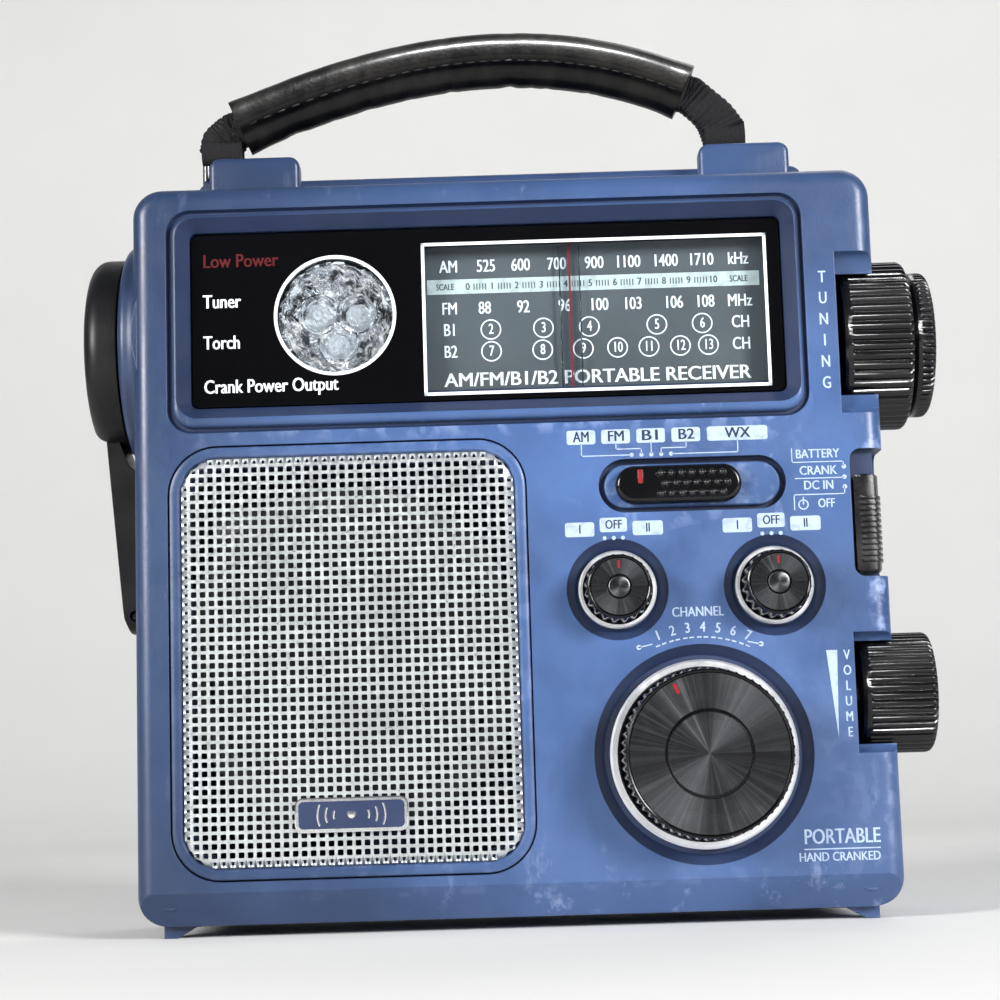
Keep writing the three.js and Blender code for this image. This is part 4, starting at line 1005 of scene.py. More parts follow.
def weather_knob():
    top = FRONT - 12.5
    floor = top + 0.62
    profile = [(0, top + 0.6), (15.6, top + 0.6), (15.7, top + 0.1), (16.0, top), (16.3, top + 0.2)]
    profile += [(16.4, top + 0.6, 0.15), (16.55, top + 1.0, 0.4), (16.7, top + 2.2, 0.5)]
    profile += [(16.8, FRONT - 3, 0.5), (16.8, FRONT + 0.4, 0.5), (16.7, FRONT + 1.6, 0.3)]
    profile += [(3, FRONT + 1.6), (3, FRONT + 8), (0, FRONT + 8)]
    face = [(8.7, floor), (8.7, top + 0.2), (15.5, top + 0.12), (15.6, top + 0.3), (15.6, floor)]
    middle = [(0, floor), (0, top + 0.2), (7.9, top + 0.2), (8.1, top + 0.35), (8.1, floor)]
    parts = [
        lathe("weather_dial", profile, "Y", WEATHER, BLACK, 480, scallop, 60),
        lathe("face", face, "Y", WEATHER, TURNED, 128),
        lathe("middle", middle, "Y", WEATHER, TURNED, 128),
        pointer_mark(WEATHER, 12.9, 15.1, 0.7, 25.7, top + 0.12),
    ]
    outer = [(17.0, FRONT + 1.8), (17.0, FRONT - 0.4), (17.3, FRONT - 0.9)]
    outer += [(18.3, FRONT - 0.9), (18.7, FRONT - 0.5), (18.7, FRONT + 1.8)]
    skirt = lathe("weather_skirt", outer, "Y", WEATHER, WHITE_METAL, 160, ring_shaped=True)
    add(merged("weather_dial", parts), "weather_switch", "black_gloss", "weather_knob")
    return add(skirt, "weather_switch", "chrome", "weather_knob_ring")


def band_switch():
    x, z = BAND["slider"], BAND["z"]
    stations = [(FRONT + 0.8, 0)] + list(reversed(rounding(FRONT - 1.6, 1.0, 6)))
    dome = [(0, -1.15), (0.3, -1.09), (0.55, -0.9), (0.74, -0.6), (0.84, -0.2), (0.84, 0.1), (0, 0.1)]
    dome = [(radius, FRONT - 1.5 + rise) for radius, rise in dome]
    parts = [
        slab("band_cap", (25.4, 7.7, 3.85, x, z), stations, BLACK, 12),
        block("tab", x - 2, x + 2, FRONT + 0.7, FRONT + 7, z - 1.2, z + 1.2, BLACK),
    ]
    for row in range(3):
        for column in range(7):
            bx = x - 3.6 + column * 2.05 + (0.9 if row == 1 else 0)
            parts.append(lathe("bump", dome, "Y", (bx, z + (1 - row) * 2.05), SHINY, 20))
    raised = [(FRONT - 1.55, 0), (FRONT - 1.66, 0.02)]
    parts.append(slab("mark", (0.9, 2.8, 0.1, x - 7.7, z + 1.6), raised, RED, 3))
    return add(merged("band_cap", parts), "band_switch", "black_gloss", "band_slider")


def wheel(name, data, bore=0.0):
    """A ribbed thumbwheel, sunk a little at its outer face, or with a bore right through."""
    radius, start, end, depth = data["radius"], data["start"], data["end"], RIB_DEPTH
    profile = [(bore, start), (radius - 1.4, start), (radius - 0.5, start + 0.2)]
    profile += [(radius, start + 0.8), (radius, start + 1.6), (radius, start + 2.0, depth)]
    profile += [(radius, end - 1.2, depth), (radius - 0.15, end - 0.6, depth * 0.8)]
    profile += [(radius - 0.6, end - 0.15, depth * 0.3), (radius - 1.2, end)]
    if bore:
        profile.append((bore, end))
    else:
        profile += [(radius - 3, end), (radius - 3.4, end - 0.35), (0, end - 0.35)]
    segments, centre = data["ribs"] * 12, (data["y"], data["z"])
    return lathe(name, profile, "X", centre, BLACK, segments, ribbed, data["ribs"], bool(bore))


def side_wheels():
    centre = (TUNING["y"], TUNING["z"])
    sleeve = pipe("sleeve", 2.1, 3.0, 66.2, TUNING["end"], "X", centre, BLACK, 32, 0.1)
    coarse = merged("coarse_wheel", [wheel("coarse_wheel", TUNING, 2.95), sleeve])
    fine_axle = rod("axle", 1.8, 65.6, FINE["start"] + 1, "X", centre, STEEL, 32)
    fine = merged("fine_wheel_cap", [wheel("fine_wheel_cap", FINE), fine_axle])
    centre = (VOLUME["y"], VOLUME["z"])
    volume_axle = rod("axle", 3, 66.4, VOLUME["start"] + 1, "X", centre, STEEL, 32)
    volume = merged("volume_wheel_cap", [wheel("volume_wheel_cap", VOLUME), volume_axle])
    return [
        add(coarse, "tuning_wheel", "black_gloss", "tuning_knob"),
        add(fine, "fine_wheel", "black_gloss", "fine_tuning_knob"),
        add(volume, "volume_wheel", "black_gloss", "volume_knob"),
    ]


def power_switch():
    low = POWER["bottom"] + 1.2
    high = low + POWER["length"]
    left = POWER["left"] + 0.5
    corner, outside = 72.9, 74.8

    def wrap(name, out, ends, bottom, top):
        """A slice of the slider that wraps the case's corner, grown outwards."""
        plan = [
            (left + ends, FRONT - 0.5 - out),
            (corner, FRONT - 0.5 - out),
            (73.8 + out * 0.4, FRONT - 0.1 - out * 0.8),
            (74.5 + out * 0.7, FRONT + 1.2 - out * 0.6),
            (outside + out, FRONT + 3.2),
            (outside + out, FRONT + 12 - ends),
            (73.2 + ends / 2, FRONT + 12 - ends),
            (73.2, FRONT + 3.4),
            (72.2, FRONT + 2),
            (left + ends, FRONT + 2),
        ]
        return prism(name, plan, "Z", bottom, top, BLACK)

    parts = [
        wrap("power_cap", 0, 0, low, high),
        wrap("top_edge", -0.25, 0.3, low - 0.25, high + 0.25),
        block("tab", left + 2, left + 3.6, FRONT + 1, FRONT + 7, low + 6, low + 10, BLACK),
    ]
    z = low + 1.7
    while z < high - 3.6:
        parts.append(wrap("ridge", 0.45, 1.2, z, z + 0.55))
        z += 1.15
    return add(merged("power_cap", parts), "power_switch", "black_gloss", "power_slider")


# ---- Window, dial and lamp --------------------------------------------------------------------


def window():
    lamp_place = (LAMP["x"], LAMP["z"])
    dial_rect = (SCALE["width"], SCALE["height"], 0.3, SCALE["x"], SCALE["z"])
    bevelled = [(GLASS, 0.15), (GLASS + 0.15, 0), (GLASS_BACK, 0)]
    pane = slab("window_pane", grown(WINDOW, 0, 1.3), bevelled, PANEL, 6)
    dial_hole = slab("dial_hole", dial_rect, [(-30, 0), (-15, 0)], PANEL, 3)
    cut(pane, dial_hole, rod("lamp_hole", 12, -30, -15, "Y", lamp_place, PANEL, 96))
    add(pane, "case", "smoked_window", "window_lens")
    add(slab("dial_glass", dial_rect, [(GLASS, 0.02), (GLASS_BACK, 0.02)], CLEAR, 3), "case", "smoked_window")
    lens = rod("lamp_glass", 11.95, GLASS + 0.1, GLASS_BACK - 0.1, "Y", lamp_place, CLEAR, 96)
    add(lens, "case", "smoked_window")


def lamp():
    """A deep bright bowl with three smaller cups pressed into it, an LED in each."""
    place = (LAMP["x"], LAMP["z"])
    inner = [(0, -9.4), (4.5, -9.4), (7, -10.6, 0.7), (9.2, -12.9, 0.9), (10.7, -16, 0.7)]
    outer = [(11.3, -19.6, 0.2), (LAMP["radius"], -19.6), (11.7, -16), (10.0, -12), (5, -8.2), (0, -8.2)]
    # The bowl and cups carry painted reflection and painted highlight in their chrome.
    parts = [lathe("lamp_bowl", inner + outer, "Y", place, PAINTED_GLINT_CHROME, 216, scallop, 18)]
    cup = [(2.6 + 1.5 * (step / 8) ** 0.6, -11.2 - 0.4 * step) for step in range(9)]
    cup += [(radius + 0.25, y) for radius, y in reversed(cup)]
    for turn in (155, 25, 270):
        angle = math.radians(turn)
        centre = (place[0] + 4.4 * math.cos(angle), place[1] + 4.4 * math.sin(angle))
        parts.append(lathe("cup", cup, "Y", centre, PAINTED_GLINT_CHROME, 48, ring_shaped=True))
    add(merged("lamp_bowl", parts), "case", "chrome", "lamp_reflector")


def embolden(mesh, shift):
    """Print the characters a second time, a little to the right."""
    sheet = bmesh.new()
    sheet.from_mesh(mesh)
    again = bmesh.ops.duplicate(sheet, geom=sheet.verts[:] + sheet.edges[:] + sheet.faces[:])
    moved = [piece for piece in again["geom"] if isinstance(piece, bmesh.types.BMVert)]
    bmesh.ops.translate(sheet, verts=moved, vec=(shift, 0, 0.003))
    sheet.to_mesh(mesh)
    sheet.free()


def text_mesh(text, x, y, z, size, material, squeeze=0.8, turn=0.0, align="CENTER", width=0):
    """Flat raised characters that face the front, squeezed by a factor or to a width."""
    curve = bpy.data.curves.new("text", "FONT")
    curve.body = text
    curve.align_x = align
    curve.align_y = "CENTER"
    curve.size = size
    curve.extrude = INK / 2
    curve.resolution_u = 3
    holder = shown("text", curve)
    bpy.context.view_layer.update()
    mesh = baked(holder)
    bpy.data.objects.remove(holder)
    mesh.materials.clear()
    mesh.materials.append(material)
    embolden(mesh, BOLD * size)
    if width:
        across = [corner.co.x for corner in mesh.vertices]
        squeeze = width / (max(across) - min(across))
    stand = Matrix.Rotation(math.pi / 2, 4, "X") @ Matrix.Diagonal((squeeze, 1, 1, 1))
    mesh.transform(Matrix.Translation((x, y, z)) @ Matrix.Rotation(-turn, 4, "Y") @ stand)
    return shown("text", mesh)


class Printing:
    """Marks on one plane in one ink, gathered so that they can be merged."""

    def __init__(self, y, ink):
        self.y, self.ink, self.parts = y, ink, []

    def text(self, words, x, z, size, squeeze=0.8, ink=None, over=0.0, **more):
        ink = ink or self.ink
        self.parts.append(text_mesh(words, x, self.y - over, z, size, ink, squeeze, **more))

    def bar(self, x0, x1, z0, z1, ink=None, over=0.0, thick=0.04):
        y = self.y - over
        self.parts.append(block("bar", x0, x1, y - thick / 2, y + thick / 2, z0, z1, ink or self.ink))

    def dot(self, x, z, radius):
        self.parts.append(rod("dot", radius, self.y - 0.02, self.y + 0.02, "Y", (x, z), self.ink, 24))

    def ring(self, place, outer, inner, over=0.0):
        y = self.y - over
        self.parts.append(pipe("ring", inner, outer, y, y + 0.05, "Y", place, self.ink, 64, 0.01))

    def line(self, points, half=0.12, over=0.0):
        """A thin line of straight pieces with square ends."""
        y = self.y - over
        for (xa, za), (xb, zb) in zip(points, points[1:]):
            length = math.hypot(xb - xa, zb - za)
            ex, ez = (xb - xa) / length * half, (zb - za) / length * half
            outline = [(xa - ex - ez, za - ez + ex), (xa - ex + ez, za - ez - ex)]
            outline += [(xb + ex + ez, zb + ez - ex), (xb + ex - ez, zb + ez + ex)]
            self.parts.append(prism("line", outline, "Y", y - 0.02, y + 0.02, self.ink))

    def add(self, name, slot):
        return add(merged(name, self.parts), "case", slot)


# Rows of the dial: height, band, unit, and where each number stands.
DIAL_ROWS = [
    (133.0, "AM", "kHz", {525: -3.4, 600: 3.8, 700: 11.3, 900: 19.1, 1100: 26.1, 1400: 33.9, 1710: 41.3}),
    (124.1, "FM", "MHz", {88: -3.9, 92: 4.1, 96: 12.7, 100: 19.8, 103: 26.8, 106: 35.3, 108: 41.8}),
    (119.6, "B1", "CH", {}),
    (115.0, "B2", "CH", {}),
]
CHANNEL_ROWS = [
    (119.6, {2: -2.7, 3: 8.2, 4: 17.7, 5: 31.7, 6: 41.1}),
    (115.0, {7: -2.7, 8: 7.9, 9: 16.3, 10: 23.4, 11: 29.9, 12: 36.4, 13: 42.2}),
]
WINDOW_WORDS = [
    ("Low Power", 134.6, 15.5, DULL_RED),
    ("Tuner", 126.1, 7.9, PRINT),
    ("Torch", 117.5, 7.5, PRINT),
    ("Crank Power Output", 108.3, 27.5, PRINT),
]


def scale_strip(dial, left):
    """The pale strip along the dial: units 0 to 10, with four marks between them."""
    z, on_strip = 128.75, 0.05
    dial.bar(left + 0.6, left + SCALE["width"] - 0.8, 127.3, 130.4, STRIP)
    for unit in range(11):
        x = -7.3 + unit * 5.1
        dial.text(str(unit), x, z, 2.1, 0.85, SLATE, on_strip)
        for step in range(5 if unit < 10 else 0):
            mark = x + 1.35 + step * 0.6
            dial.bar(mark - 0.1, mark + 0.1, 128.1, 129.4, SLATE, on_strip)
    for x in (-12, 49):
        dial.text("SCALE", x, z, 1.9, 0.7, SLATE, on_strip)


def dial():
    """The scale plate and everything printed on it."""
    x, z, width, height = SCALE["x"], SCALE["z"], SCALE["width"], SCALE["height"]
    ends = [(DIAL_FACE, 0), (DIAL_FACE + 0.8, 0)]
    plate = slab("scale_plate", (width + 2, height + 1, 0.3, x, z), ends, SLATE, 3)
    add(plate, "case", "dial_plate", "dial_scale_plate")
    face = Printing(DIAL_FACE - 0.06, PRINT)
    over = 0.05
    scale_strip(face, x - width / 2)
    for row_z, band, unit, numbers in DIAL_ROWS:
        for word, px in [(band, -11.2), *numbers.items(), (unit, 49)]:
            face.text(str(word), px, row_z, 3.7, 0.72, over=over)
    for row_z, numbers in CHANNEL_ROWS:
        for number, px in numbers.items():
            face.ring((px, row_z), 2.15, 1.88, over)
            face.text(str(number), px, row_z, 3.1, 0.68, over=over)
    face.text("AM/FM/B1/B2 PORTABLE RECEIVER", 19, 109.0, 4.1, over=over, width=63.5)
    face.add("scale_printing", "dial_plate")


def window_printing():
    """The dial's white frame, the lamp's ring and the words on the window."""
    x, z, half_w, half_h = SCALE["x"], SCALE["z"], SCALE["width"] / 2, SCALE["height"] / 2
    face = Printing(GLASS - 0.03, PRINT)
    corners = [(-1, -1), (-1, 1), (1, 1), (1, -1), (-1, -1)]
    face.line([(x + sx * half_w, z + sz * half_h) for sx, sz in corners], 0.32)
    face.ring((LAMP["x"], LAMP["z"]), 12.58, 11.9, 0.02)
    for words, row_z, width, ink in WINDOW_WORDS:
        face.text(words, -61.8, row_z, 4.0, ink=ink, align="LEFT", width=width)
    face.add("window_printing", "smoked_window")


def needle():
    x = 13.9
    marks = Printing(NEEDLE, RED)
    marks.bar(x - 0.2, x + 0.2, 105.6, 141.5, over=-0.1, thick=0.3)
    marks.parts.append(block("hanger", x - 0.5, x + 0.5, -18.8, -13.4, 140.7, 142.2, RED))
    marks.parts.append(block("runner", x - 3.8, x + 3.8, -16.7, -13.3, 140.7, 141.3, RED))
    marks.parts.append(slab("needle", (4.2, 30.6, 0.3, x, 121.2), [(-19.2, 0), (-18.8, 0)], CLEAR, 3))
    for edge in (x - 2.05, x + 2.05):
        marks.bar(edge - 0.14, edge + 0.14, 106, 136.4, BLACK, thick=0.3)
    return add(merged("needle", marks.parts), "pointer", "red_plastic", "tuning_pointer")


# ---- Printing on the case ---------------------------------------------------------------------

PILL_HEIGHT = 2.9
ON_PILL = 0.03
PILL_ROWS = dict(band=95.2, switch=76.45)
# Words, where they stand, how wide the label is and how wide the words are.
BAND_PILLS = [
    ("AM", 14.9, 5.8, 3.248),
    ("FM", 21.9, 5.8, 3.248),
    ("B1", 29, 5.8, 3.248),
    ("B2", 36.1, 5.8, 3.248),
    ("WX", 46.5, 12.2, 5.2),
]
# Words, how far from the knob's middle and above the row they stand, and the label's width.
SWITCH_PILLS = [("I", -6.8, 0, 5.9), ("OFF", 0, 0.8, 5.5), ("II", 6.9, 0, 6.1)]
BAND_LEADS = [
    [(14.9, 93.8), (14.9, 91.35), (24.7, 91.35)],
    [(21.9, 93.8), (21.9, 92.6), (27, 92.6), (27, 91.5)],
    [(29, 93.8), (29, 91.5)],
    [(36.1, 93.8), (36.1, 92.6), (31, 92.6), (31, 91.5)],
    [(46.5, 93.8), (46.5, 91.35), (33.2, 91.35)],
]
POWER_LEADS = [
    [(57.3, 91.6), (57.3, 88.8), (67.6, 88.8), (67.6, 87.9)],
    [(57.8, 85.5), (67.6, 85.5)],
    [(67.6, 83.6), (67.6, 82.2), (57.4, 82.2), (57.4, 79.2)],
]


def pill(face, words, x, z, wide, size, **fit):
    """A pale label with dark words on it."""
    flat = [(face.y + 0.02, 0), (face.y - 0.02, 0)]
    face.parts.append(slab("pill", (wide, PILL_HEIGHT, 0.5, x, z), flat, PILL, 4))
    face.text(words, x, z, size, ink=NAVY_INK_AND_SHADE, over=ON_PILL, **fit)


def switch_labels(face):
    for words, x, wide, width in BAND_PILLS:
        pill(face, words, x, PILL_ROWS["band"], wide, 3.1, width=width)
    for index in range(5):
        face.dot(25 + index * 2, 91.35, 0.42)
    for lead in BAND_LEADS:
        face.line(lead, 0.1)
    for x in (20.8, 52.5):
        for words, shift, lift, wide in SWITCH_PILLS:
            pill(face, words, x + shift, PILL_ROWS["switch"] + lift, wide, 2.6, squeeze=0.75)
        for step in (-1.85, 0, 1.85):
            face.dot(x + step, 74.6, 0.4)


def channel_labels(face):
    """Numbers and short arcs round the top of the weather knob."""

    def around(radius, angle):
        return WEATHER[0] + radius * math.cos(angle), WEATHER[1] + radius * math.sin(angle)

    face.text("CHANNEL", 37, 59.2, 2.8)
    for index in range(7):
        angle = math.radians(109.5 - index * 7)
        x, z = around(25.1, angle)
        face.text(str(index + 1), x, z, 2.9, turn=angle - math.pi / 2)
        face.line([around(23.2, angle + math.radians(step)) for step in (-2.4, 0, 2.4)], 0.14)
    for side in (-1, 1):
        x = WEATHER[0] + side * 12.2
        face.dot(x, 52.45, 0.5)
        face.line([(x, 52.45), (x - side * 2.6, 53)])


def side_labels(face):
    for word, x, z, spacing, size in (("TUNING", 65.1, 126.8, 4.38, 3.5), ("VOLUME", 66.3, 49.7, 3.06, 2.8)):
        for index, letter in enumerate(word):
            face.text(letter, x, z - index * spacing, size, 0.72)
    wedge = [(62.3, 50.8), (64.5, 50.8), (64, 33.3)]
    face.parts.append(prism("wedge", wedge, "Y", face.y - 0.02, face.y + 0.02, PILL))
    for z, words, width in ((90.4, "BATTERY", 8.8), (87, "CRANK", 7.6), (84, "DC IN", 5.9)):
        face.text(words, 62.4, z, 2.6, width=width)
    for lead in POWER_LEADS:
        face.line(lead, 0.1)
    for z in (87.7, 85.6, 83.6):
        face.dot(67.7, z, 0.45)
    face.ring((59.2, 80.2), 1.05, 0.8)
    face.line([(59.2, 80.3), (59.2, 81.6)], 0.14, 0.06)
    face.text("OFF", 63.8, 80.3, 2.6, 0.75)


def front_printing():
    face = Printing(FRONT - 0.02, PILL)
    switch_labels(face)
    channel_labels(face)
    side_labels(face)
    face.text("PORTABLE", 63.6, 14, 4.2, width=15)
    face.line([(56.2, 11.7), (71, 11.7)])
    face.text("HAND CRANKED", 63, 10.1, 2.5, width=16)
    return face.add("front_printing", "blue_plastic")


# ---- Crank ------------------------------------------------------------------------------------


def crank():
    end, hub, boss_end = CRANK["hub_end"], CRANK["hub"], CRANK["boss_end"]
    profile = [(0, end + 1.1), (15.4, end + 1.1), (16.0, end + 0.9), (16.6, end + 0.2), (17.2, end)]
    for step in range(1, 9):
        angle = math.pi / 2 * step / 8
        profile.append((17.4 + (hub - 17.4) * math.sin(angle), end + 3.4 * (1 - math.cos(angle))))
    profile += [(hub, boss_end - 0.6), (hub - 0.3, boss_end - 0.5), (0, boss_end - 0.5)]
    disc = lathe("crank_disc", profile, "X", (CRANK["y"], CRANK["z"]), MATTE, 128)
    channel = block("channel", end - 5, -81.2, -7.3, 7.3, 80, 115.2, MATTE)
    cut(disc, channel, rod("pin", 1.3, -12, 12, "Y", ARM_PIN, MATTE, 24))
    return add(disc, "crank", "black_matte", "crank_hub")


# ---- Strap ------------------------------------------------------------------------------------


def bezier(points, share):
    a, b, c = points
    return tuple((1 - share) ** 2 * a[i] + 2 * share * (1 - share) * b[i] + share**2 * c[i] for i in range(2))


def spline(points, share):
    """Catmull-Rom through (x, z) points."""
    count = len(points) - 1
    place = min(share * count, count - 1e-6)
    index = int(place)
    t = place - index
    near = [points[max(0, min(count, index + k))] for k in (-1, 0, 1, 2)]
    result = []
    for a, b, c, d in zip(*near):
        curve = (2 * a - 5 * b + 4 * c - d) * t * t + (3 * b - a - 3 * c + d) * t**3
        result.append(0.5 * (2 * b + (c - a) * t + curve))
    return tuple(result)


def unit(ahead, behind):
    """The direction from one (x, z) point to another."""
    x, z = ahead[0] - behind[0], ahead[1] - behind[1]
    length = math.hypot(x, z)
    return x / length, z / length


def sweep(name, path, section, material, steps):
    """Sweeps section(share), a list of (across, out), along an (x, z) path.

    across is along Y, and out is square to the path in the XZ plane.
    """
    rings = []
    for step in range(steps + 1):
        share = step / steps
        x, z = path(share)
        tx, tz = unit(path(min(1, share + 0.002)), path(max(0, share - 0.002)))
        rings.append([(x - tz * out, RING["y"] + across, z + tx * out) for across, out in section(share)])
    return loft(name, rings, material)


def squircle(angle, wide, tall, wide_power, tall_power):
    """A point of an oval with flattened sides."""
    c, s = math.cos(angle), math.sin(angle)
    return wide * math.copysign(abs(c) ** wide_power, c), tall * math.copysign(abs(s) ** tall_power, s)


def stitch(share):
    """One short thread along the grip's front."""
    x, z = bezier(GRIP_BEND, share)
    tx, tz = unit(bezier(GRIP_BEND, share + 0.001), (x, z))
    rings = []
    for step in range(7):
        t = -1 + step / 3
        reach = math.sqrt(max(0.02, 1 - t * t)) * STITCH["thick"]
        along = t * STITCH["half"]
        ring = []
        for corner in range(8):
            angle = math.tau * corner / 8
            out = STITCH["drop"] + reach * math.sin(angle)
            front = RING["y"] - STITCH["forward"] + reach * math.cos(angle)
            ring.append((x + tx * along - tz * out, front, z + tz * along + tx * out))
        rings.append(ring)
    return loft("stitch", rings, WEBBING)


def strap_grip():
    """A hollow leather sleeve, creased on its inner side and stitched along the front."""
    draws = random.Random(7)
    spans = ((0.04, 0.96), (0.2, 0.5), (0.006, 0.014))
    folds = [[draws.uniform(*span) for span in spans] for _ in range(16)]

    def section(share):
        points = []
        end = min(share, 1 - share)
        swell = 1 + 0.05 * math.exp(-((end / 0.03) ** 2))
        crease = sum(depth * math.exp(-(((share - centre) / width) ** 2)) for centre, depth, width in folds)
        for step in range(48):
            angle = math.tau * step / 48
            across, out = squircle(angle, 5.9, 5.75, 0.8, 0.85)
            across *= 1 - 0.34 * min(1, max(0, -out - 1.4) / 0.7)
            scale = (1 - 0.06 * crease * (0.3 + max(0, -math.sin(angle)))) * swell
            points.append((across * scale, out * scale))
        return points

    oval = [(2.9 * math.cos(math.tau * i / 32), 4.9 * math.sin(math.tau * i / 32)) for i in range(32)]
    sleeve = sweep("grip_sleeve", lambda s: bezier(GRIP_BEND, s), section, LEATHER, 160)
    mouth = sweep("mouth", lambda s: bezier(GRIP_BEND, -0.02 + s * 1.04), lambda s: oval, LEATHER, 60)
    cut(sleeve, mouth)
    last = STITCH["count"] - 1
    stitches = [stitch(0.025 + 0.95 * index / last) for index in range(STITCH["count"])]
    return add(merged("grip_sleeve", [sleeve, *stitches]), "strap", "leather", "strap_grip", angle=60)


def strap_points():
    """The webbing's middle line, as in the CAD."""
    (left, left_z), (right, right_z) = GRIP_BEND[0], GRIP_BEND[2]
    start, end, high = RING["left"], RING["right"], RING["high"]
    points = [(start, high + 1.2), (start + 0.1, high + 3), (left - 1.8, left_z - 0.8)]
    points += [bezier(GRIP_BEND, s / 8) for s in range(9)]
    return points + [(right + 1.8, right_z - 0.9), (end - 2.2, high + 5.4), (end, high + 1.4)]


def webbing_eye(side):
    """The loop of webbing that wraps a ring's upper bar."""
    rings = []
    for step in range(57):
        share = step / 56
        x = RING[side] + (share - 0.5) * 8.6
        radius = 2.5 + 0.16 * abs(math.sin(share * 26))
        ring = []
        for corner in range(24):
            angle = math.tau * corner / 24
            rise = (radius + 1.4 * max(0, math.sin(angle))) * math.sin(angle)
            ring.append((x, RING["y"] + radius * math.cos(angle), RING["high"] + rise))
        rings.append(ring)
    eye = loft("eye", rings, WEBBING)
    return cut(eye, rod("bar", 1.5, -PAST, PAST, "X", (RING["y"], RING["high"]), WEBBING, 24))


def strap_webbing():
    """Two layers of ribbed webbing, sewn together, that wrap each ring's upper bar."""
    points = strap_points()

    def section(share):
        half_width = 4.0 + 0.9 * max(0, 1 - min(share, 1 - share) / 0.1)
        rib = 0.16 * abs(math.sin(share * 210))
        outline = []
        for step in range(28):
            across, out = squircle(math.tau * step / 28, 1.9, half_width, 0.6, 0.45)
            outline.append((across * (1 + rib), out * (1 + 0.25 * rib)))
        return outline

    band = sweep("webbing", lambda s: spline(points, s), section, WEBBING, 560)
    webbing = merged("webbing", [band, webbing_eye("left"), webbing_eye("right")])
    layout = webbing.data.uv_layers.new(name="UVMap")
    for loop in webbing.data.loops:
        place = webbing.data.vertices[loop.vertex_index].co
        layout.data[loop.index].uv = (place.x + place.z, place.z - place.x)
    add(webbing, "strap", "webbing", "strap_webbing", angle=60)


def strap_ring(side):
    low, high = RING["low"], RING["high"]
    outline = rounded_rect(2 * RING["half"], high - low, 2.4, RING[side], (low + high) / 2, 8)
    rings = []
    for index, (px, pz) in enumerate(outline):
        tx, tz = unit(outline[(index + 1) % len(outline)], outline[index - 1])
        ring = []
        for corner in range(12):
            angle = math.tau * corner / 12
            out = RING["wire"] * math.cos(angle)
            ring.append((px + tz * out, RING["y"] + RING["wire"] * math.sin(angle), pz - tx * out))
        rings.append(ring)
    wire = loft(side + "_ring", rings, DARK_STEEL, ring_shaped=True)
    return add(wire, "strap", "steel", "strap_ring_" + side, angle=60)


# ---- CAD pieces that keep their shape ---------------------------------------------------------

KEPT = {
    STEEL: ["pointer_rail", "volume_pot", "crank_arm_pin", "dynamo"],
    LED: ["lamp_led_left", "lamp_led_right", "lamp_led_lower"],
    CONE: ["speaker_cone"],
    FERRITE: ["speaker_magnet", "ferrite_rod", "speaker_basket"],
    BLACK: ["siren", "jack_block"],
    MATTE: ["crank_arm", "crank_grip", "aerial_swivel"],
    NYLON: ["tuning_capacitor", "drive_gear", "idler_gear", "dynamo_pinion"],
    BOARD: ["main_board"],
    NICKEL: ["aerial_tube_1", "aerial_tube_2", "aerial_tube_3", "aerial_rod"],
    WRAP: ["battery_pack"],
    RUBBER: ["jack_flap"],
}
KEPT[STEEL] += [f"case_screw_{end}_{side}" for end in ("lower", "upper") for side in ("left", "right")]
KEPT[NICKEL] += [f"aa_cell_{number}" for number in (1, 2, 3)]


def keep_cad():
    for material, names in KEPT.items():
        for name in names:
            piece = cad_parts[name]
            piece.data.materials.clear()
            piece.data.materials.append(material)
            sharpen(piece.data, 30)
            soften = piece.modifiers.new("soften", "BEVEL")
            soften.width = 0.0003
            soften.segments = 2
            soften.limit_method = "ANGLE"
            soften.angle_limit = math.radians(35)


# ---- Studio, in metres ------------------------------------------------------------------------


def backdrop():
    """A pale floor that sweeps up into a pale wall."""
    n = Nodes("studio_paper", Roughness=0.9)
    n.color(n.mix(n.noise(14, 3), (0.76, 0.755, 0.74), (0.80, 0.795, 0.78)))
    bend, reach, side = 0.5, 0.55, 3
    profile = [(-2.5, 0), (reach, 0)]
    for step in range(1, 13):
        angle = math.pi / 2 * step / 12
        profile.append((reach + bend * math.sin(angle), bend * (1 - math.cos(angle))))
    profile.append((reach + bend, 2.6))
    points = [(x, y, z) for x in (-side, side) for y, z in profile]
    count = len(profile)
    mesh = bpy.data.meshes.new("floor")
    mesh.from_pydata(points, [], [(i, i + 1, count + i + 1, count + i) for i in range(count - 1)])
    mesh.materials.append(n.material)
    mesh.shade_smooth()
    shown("floor", mesh)


def softbox(name, place, target, size, power, color=(1, 1, 1), only=()):
    """A rectangular light. It reaches everything, or only some pieces."""
    light = bpy.data.lights.new(name, "AREA")
    light.shape = "RECTANGLE"
    light.size, light.size_y = size
    light.energy = power
    light.color = color
    holder = shown(name, light)
    holder.location = place
    holder.rotation_euler = (Vector(target) - Vector(place)).to_track_quat("-Z", "Y").to_euler()
    if only:
        lit = bpy.data.collections.new(name + "_lights")
        for piece in only:
            lit.objects.link(piece)
        holder.light_linking.receiver_collection = lit


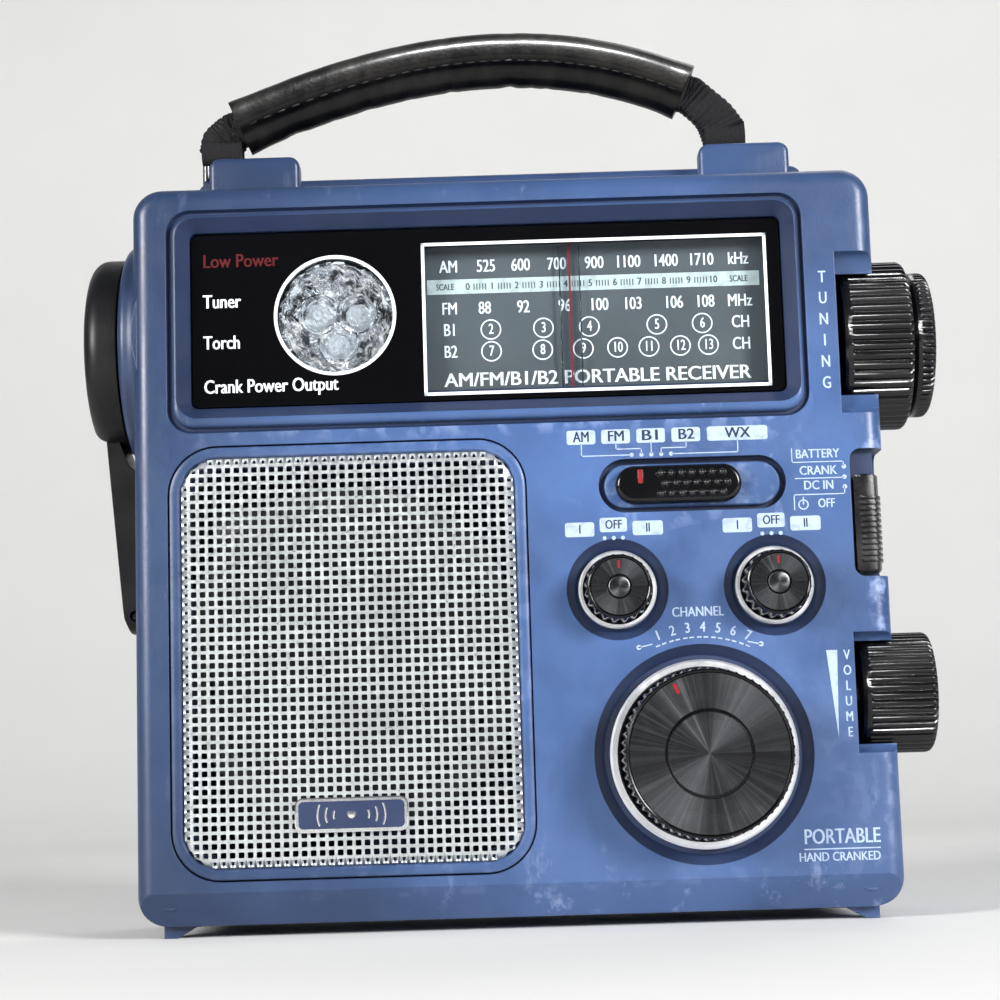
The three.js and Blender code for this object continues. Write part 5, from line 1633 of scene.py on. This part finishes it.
def surroundings():
    """Dim sky for the light, and plain grey where the camera sees past the floor."""
    world = bpy.data.worlds.new("studio")
    world.use_nodes = True
    tree = world.node_tree
    lit = tree.nodes["Background"]
    lit.inputs["Color"].default_value = (0.8, 0.85, 0.95, 1)
    lit.inputs["Strength"].default_value = 0.2
    seen = tree.nodes.new("ShaderNodeBackground")
    seen.inputs["Color"].default_value = (0.62, 0.62, 0.61, 1)
    pick = tree.nodes.new("ShaderNodeMixShader")
    rays = tree.nodes.new("ShaderNodeLightPath")
    tree.links.new(rays.outputs["Is Camera Ray"], pick.inputs[0])
    tree.links.new(lit.outputs[0], pick.inputs[1])
    tree.links.new(seen.outputs[0], pick.inputs[2])
    tree.links.new(pick.outputs[0], tree.nodes["World Output"].inputs["Surface"])
    bpy.context.scene.world = world


def studio(grip, glossy):
    """The strap's grip and the glossy side controls each have a light of their own."""
    backdrop()
    surroundings()
    middle = (0, 0, 0.09)
    softbox("left_front", (-0.85, -0.75, 0.4), middle, (0.35, 0.35), 15, (1, 0.99, 0.97))
    softbox("right_front", (0.8, -0.85, 0.42), middle, (0.35, 0.35), 17.5)
    softbox("high", (0.05, -0.55, 1.0), (0, 0, 0.16), (0.4, 0.09), 42, only=[grip])
    softbox("wheel_glint", (0.29, -0.95, 0.42), (0.08, 0, 0.1), (0.16, 0.1), 9, only=glossy)
    softbox("rim", (0.5, 0.75, 1.3), middle, (0.6, 0.4), 3)
    bpy.context.scene.view_settings.view_transform = "Standard"


def camera():
    data = bpy.data.cameras.new("camera")
    data.sensor_width = 36
    data.lens = 75.6
    data.clip_start = 0.01
    view = shown("camera", data)
    view.location = TO_FRAME @ Vector(CAMERA["place"])
    view.rotation_euler = [math.radians(CAMERA[angle]) for angle in ("tilt", "roll", "turn")]
    bpy.context.scene.camera = view


# ---- Everything together ----------------------------------------------------------------------

front_case()
rear_case()
battery_door()
perforated_grille()
grille_surround()
badge()
small_knob("light_dial", LIGHT, "light_switch")
small_knob("alert_dial", ALERT, "alert_switch")
weather_knob()
band_switch()
glossy_controls = side_wheels() + [power_switch()]
window()
lamp()
dial()
window_printing()
needle()
front_printing()
crank()
leather_grip = strap_grip()
strap_webbing()
strap_ring("left")
strap_ring("right")
keep_cad()
studio(leather_grip, glossy_controls)
camera()
